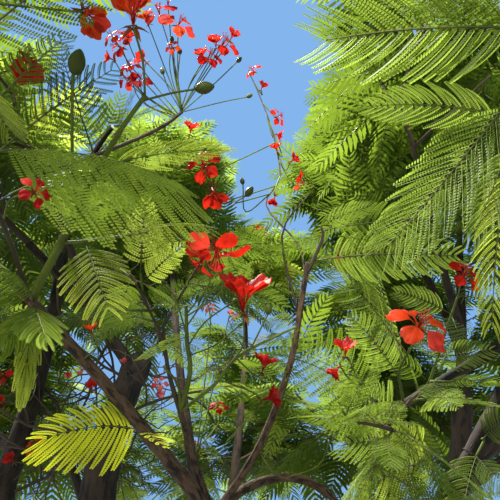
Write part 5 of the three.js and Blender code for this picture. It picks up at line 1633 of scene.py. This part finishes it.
def finishes_for(settings):
    """Every finish by its name, made once."""
    if FINISHES:
        return FINISHES
    bark, leaf, blossom = settings.bark, settings.leaf, settings.blossom
    barks = [tuple(colour) for colour in (bark.groove, bark.ridge, bark.lichen)]
    FINISHES["bark"] = bark_finish("bark", *barks, *NEAR_BARK)
    # The boughs' bark colours, darkened as painted shade
    shaded = [darker(colour, BOUGH_PAINTED_SHADE) for colour in barks]
    FINISHES["shaded_bough_bark"] = bark_finish("shaded_bough_bark", *shaded, *BOUGH_BARK)
    FINISHES["trunk_bark"] = bark_finish("trunk_bark", *barks, *TRUNK_BARK)
    FINISHES["twig"] = bark_finish("twig_bark", *TWIG_COLOURS, *TWIG_BARK)
    FINISHES["cut_wood"] = cut_finish("cut_wood", *CUT_COLOURS)
    for kind, glow in LEAF_GLOWS.items():
        name, colour = "leaf_" + kind, tuple(getattr(leaf, kind))
        through = LIT_YELLOW_THROUGH if kind == "lit_yellow" else leaf.through
        FINISHES[name] = thin_finish(name, colour, darker(colour, DARK_PART), glow, through, 0.6)
    for name, (light, dark, glow, through, roughness) in THIN_FINISHES.items():
        FINISHES[name] = thin_finish(name, light, dark, glow, through, roughness)
    for kind, glow in PETAL_GLOWS.items():
        name, colour = "petal_" + kind, PETAL_COLOURS.get(kind) or tuple(getattr(blossom, kind))
        FINISHES[name] = thin_finish(name, colour, darker(colour, DARK_PART), glow, PETAL_THROUGH, 0.5,
                                     *PETAL_SCALES, PETAL_DIM)
    return FINISHES


class MakeBark(bpy.types.Operator):
    """Trunk and boughs with the relief of their bark"""
    bl_idname = "flame_tree.bark"
    bl_label = "Trunk and boughs"

    def execute(self, context):
        settings = context.scene.flame_tree
        finishes = finishes_for(settings)
        depth = settings.bark.depth
        rest = [name for name in LIMBS if name not in NEAR_LIMBS]
        bark_piece("trunk_bark", ["trunk"], finishes["trunk_bark"], TRUNK_SIDES, TRUNK_HEIGHT / TRUNK_RINGS,
                   depth * TRUNK_RELIEF)
        bark_piece("near_limbs_bark", NEAR_LIMBS, finishes["bark"], *NEAR_FINENESS, depth)
        bark_piece("boughs_bark", rest, finishes["shaded_bough_bark"], *BOUGH_FINENESS, depth)
        return {"FINISHED"}


class MakeSawCuts(bpy.types.Operator):
    """Weathered faces where limbs were sawn off"""
    bl_idname = "flame_tree.saw_cuts"
    bl_label = "Saw cuts"

    def execute(self, context):
        mesh = saw_cuts()
        mesh.materials.append(finishes_for(context.scene.flame_tree)["cut_wood"])
        finish_piece(link(mesh, "saw_cuts"))
        return {"FINISHED"}


class MakeTwigs(bpy.types.Operator):
    """Stems, twigs and shoots, branching by the source's rule"""
    bl_idname = "flame_tree.twigs"
    bl_label = "Twigs"

    def execute(self, context):
        twig_pieces(finishes_for(context.scene.flame_tree))
        return {"FINISHED"}


class MakeLeaves(bpy.types.Operator):
    """Feathery leaves in sprays on the shoots"""
    bl_idname = "flame_tree.leaves"
    bl_label = "Leaves"

    def execute(self, context):
        if not growth().leaves:
            raise RuntimeError("no leaf found room on the tree")
        leaf_pieces(finishes_for(context.scene.flame_tree))
        return {"FINISHED"}


class MakeBlossom(bpy.types.Operator):
    """Heads of red flowers and buds at the ends of twigs"""
    bl_idname = "flame_tree.blossom"
    bl_label = "Blossom"

    def execute(self, context):
        blossom_pieces(finishes_for(context.scene.flame_tree))
        return {"FINISHED"}


FLOOR_DARK, FLOOR_LIGHT = (0.19, 0.186, 0.172), (0.22, 0.216, 0.2)
# Lamps: how wide in degrees they look, their colour, and the way that they shine
KEY_LAMP = (3, (1.0, 0.96, 0.88), (0.35, -0.15, -0.92))
FILL_LAMP = (8, (1.0, 0.95, 0.8), (0.22, 0.86, -0.34))


class MakeStage(bpy.types.Operator):
    """Plain floor, soft light, and the camera in the photograph's place"""
    bl_idname = "flame_tree.stage"
    bl_label = "Stage"

    def execute(self, context):
        settings = context.scene.flame_tree.stage
        bm = bmesh.new()
        bmesh.ops.create_grid(bm, x_segments=1, y_segments=1, size=settings.floor_size / 2,
                              matrix=Matrix.Translation((0, 0, -MM)))
        mesh = bpy.data.meshes.new("floor")
        bm.to_mesh(mesh)
        bm.free()
        finish, tree = new_finish("floor")
        place = node(tree, "ShaderNodeTexCoord").outputs["Object"]
        patches = node(tree, "ShaderNodeTexNoise", Vector=place, Scale=3.0, Detail=6.0)
        colour = ramp(tree, patches.outputs["Fac"], ((0.3, FLOOR_DARK), (0.7, FLOOR_LIGHT)))
        shade = node(tree, "ShaderNodeBsdfPrincipled", Base_Color=colour, Roughness=0.9)
        node(tree, "ShaderNodeOutputMaterial", Surface=shade.outputs[0])
        mesh.materials.append(finish)
        link(mesh, "floor")

        lamps = (("key", settings.sun, *KEY_LAMP), ("fill", settings.fill, *FILL_LAMP))
        for name, energy, angle, colour, way in lamps:
            lamp = bpy.data.lights.new(name, "SUN")
            lamp.energy = energy
            lamp.angle = math.radians(angle)
            lamp.color = colour
            light = bpy.data.objects.new(name, lamp)
            light.rotation_euler = Vector(way).to_track_quat("-Z", "Y").to_euler()
            context.scene.collection.objects.link(light)

        world = bpy.data.worlds.new("backdrop")
        world.use_nodes = True
        background = world.node_tree.nodes["Background"]
        background.inputs["Color"].default_value = rgba(settings.backdrop)
        background.inputs["Strength"].default_value = settings.sky
        context.scene.world = world
        context.scene.view_settings.view_transform = "Standard"

        camera = bpy.data.cameras.new("camera")
        camera.lens = camera.sensor_width * FOCAL / PICTURE
        camera.clip_start = SIGHT_START
        eye = bpy.data.objects.new("camera", camera)
        eye.location = VIEWPOINT
        eye.rotation_euler = (math.radians(90 + VIEW_TILT), 0, 0)
        context.scene.collection.objects.link(eye)
        context.scene.camera = eye
        return {"FINISHED"}


OPERATORS = (MakeBark, MakeSawCuts, MakeTwigs, MakeLeaves, MakeBlossom, MakeStage)


class FlameTreePanel(bpy.types.Panel):
    """The flame tree's pieces, in the order in which they are made"""
    bl_idname = "VIEW3D_PT_flame_tree"
    bl_label = "Flame tree"
    bl_space_type = "VIEW_3D"
    bl_region_type = "UI"
    bl_category = "Flame tree"

    def draw(self, context):
        for operator in OPERATORS:
            self.layout.operator(operator.bl_idname)
        for group in ("bark", "leaf", "blossom", "stage"):
            settings = getattr(context.scene.flame_tree, group)
            for name in settings.bl_rna.properties.keys():
                if name not in ("rna_type", "name"):
                    self.layout.prop(settings, name)


CLASSES = (BarkSettings, LeafSettings, BlossomSettings, StageSettings, TreeSettings, *OPERATORS,
           FlameTreePanel)


def register():
    for made in CLASSES:
        bpy.utils.register_class(made)
    bpy.types.Scene.flame_tree = bpy.props.PointerProperty(type=TreeSettings)


def unregister():
    del bpy.types.Scene.flame_tree
    for made in reversed(CLASSES):
        bpy.utils.unregister_class(made)


def main():
    register()
    bpy.ops.flame_tree.bark()
    bpy.ops.flame_tree.saw_cuts()
    bpy.ops.flame_tree.twigs()
    bpy.ops.flame_tree.leaves()
    bpy.ops.flame_tree.blossom()
    bpy.ops.flame_tree.stage()


if __name__ == "__main__":
    main()
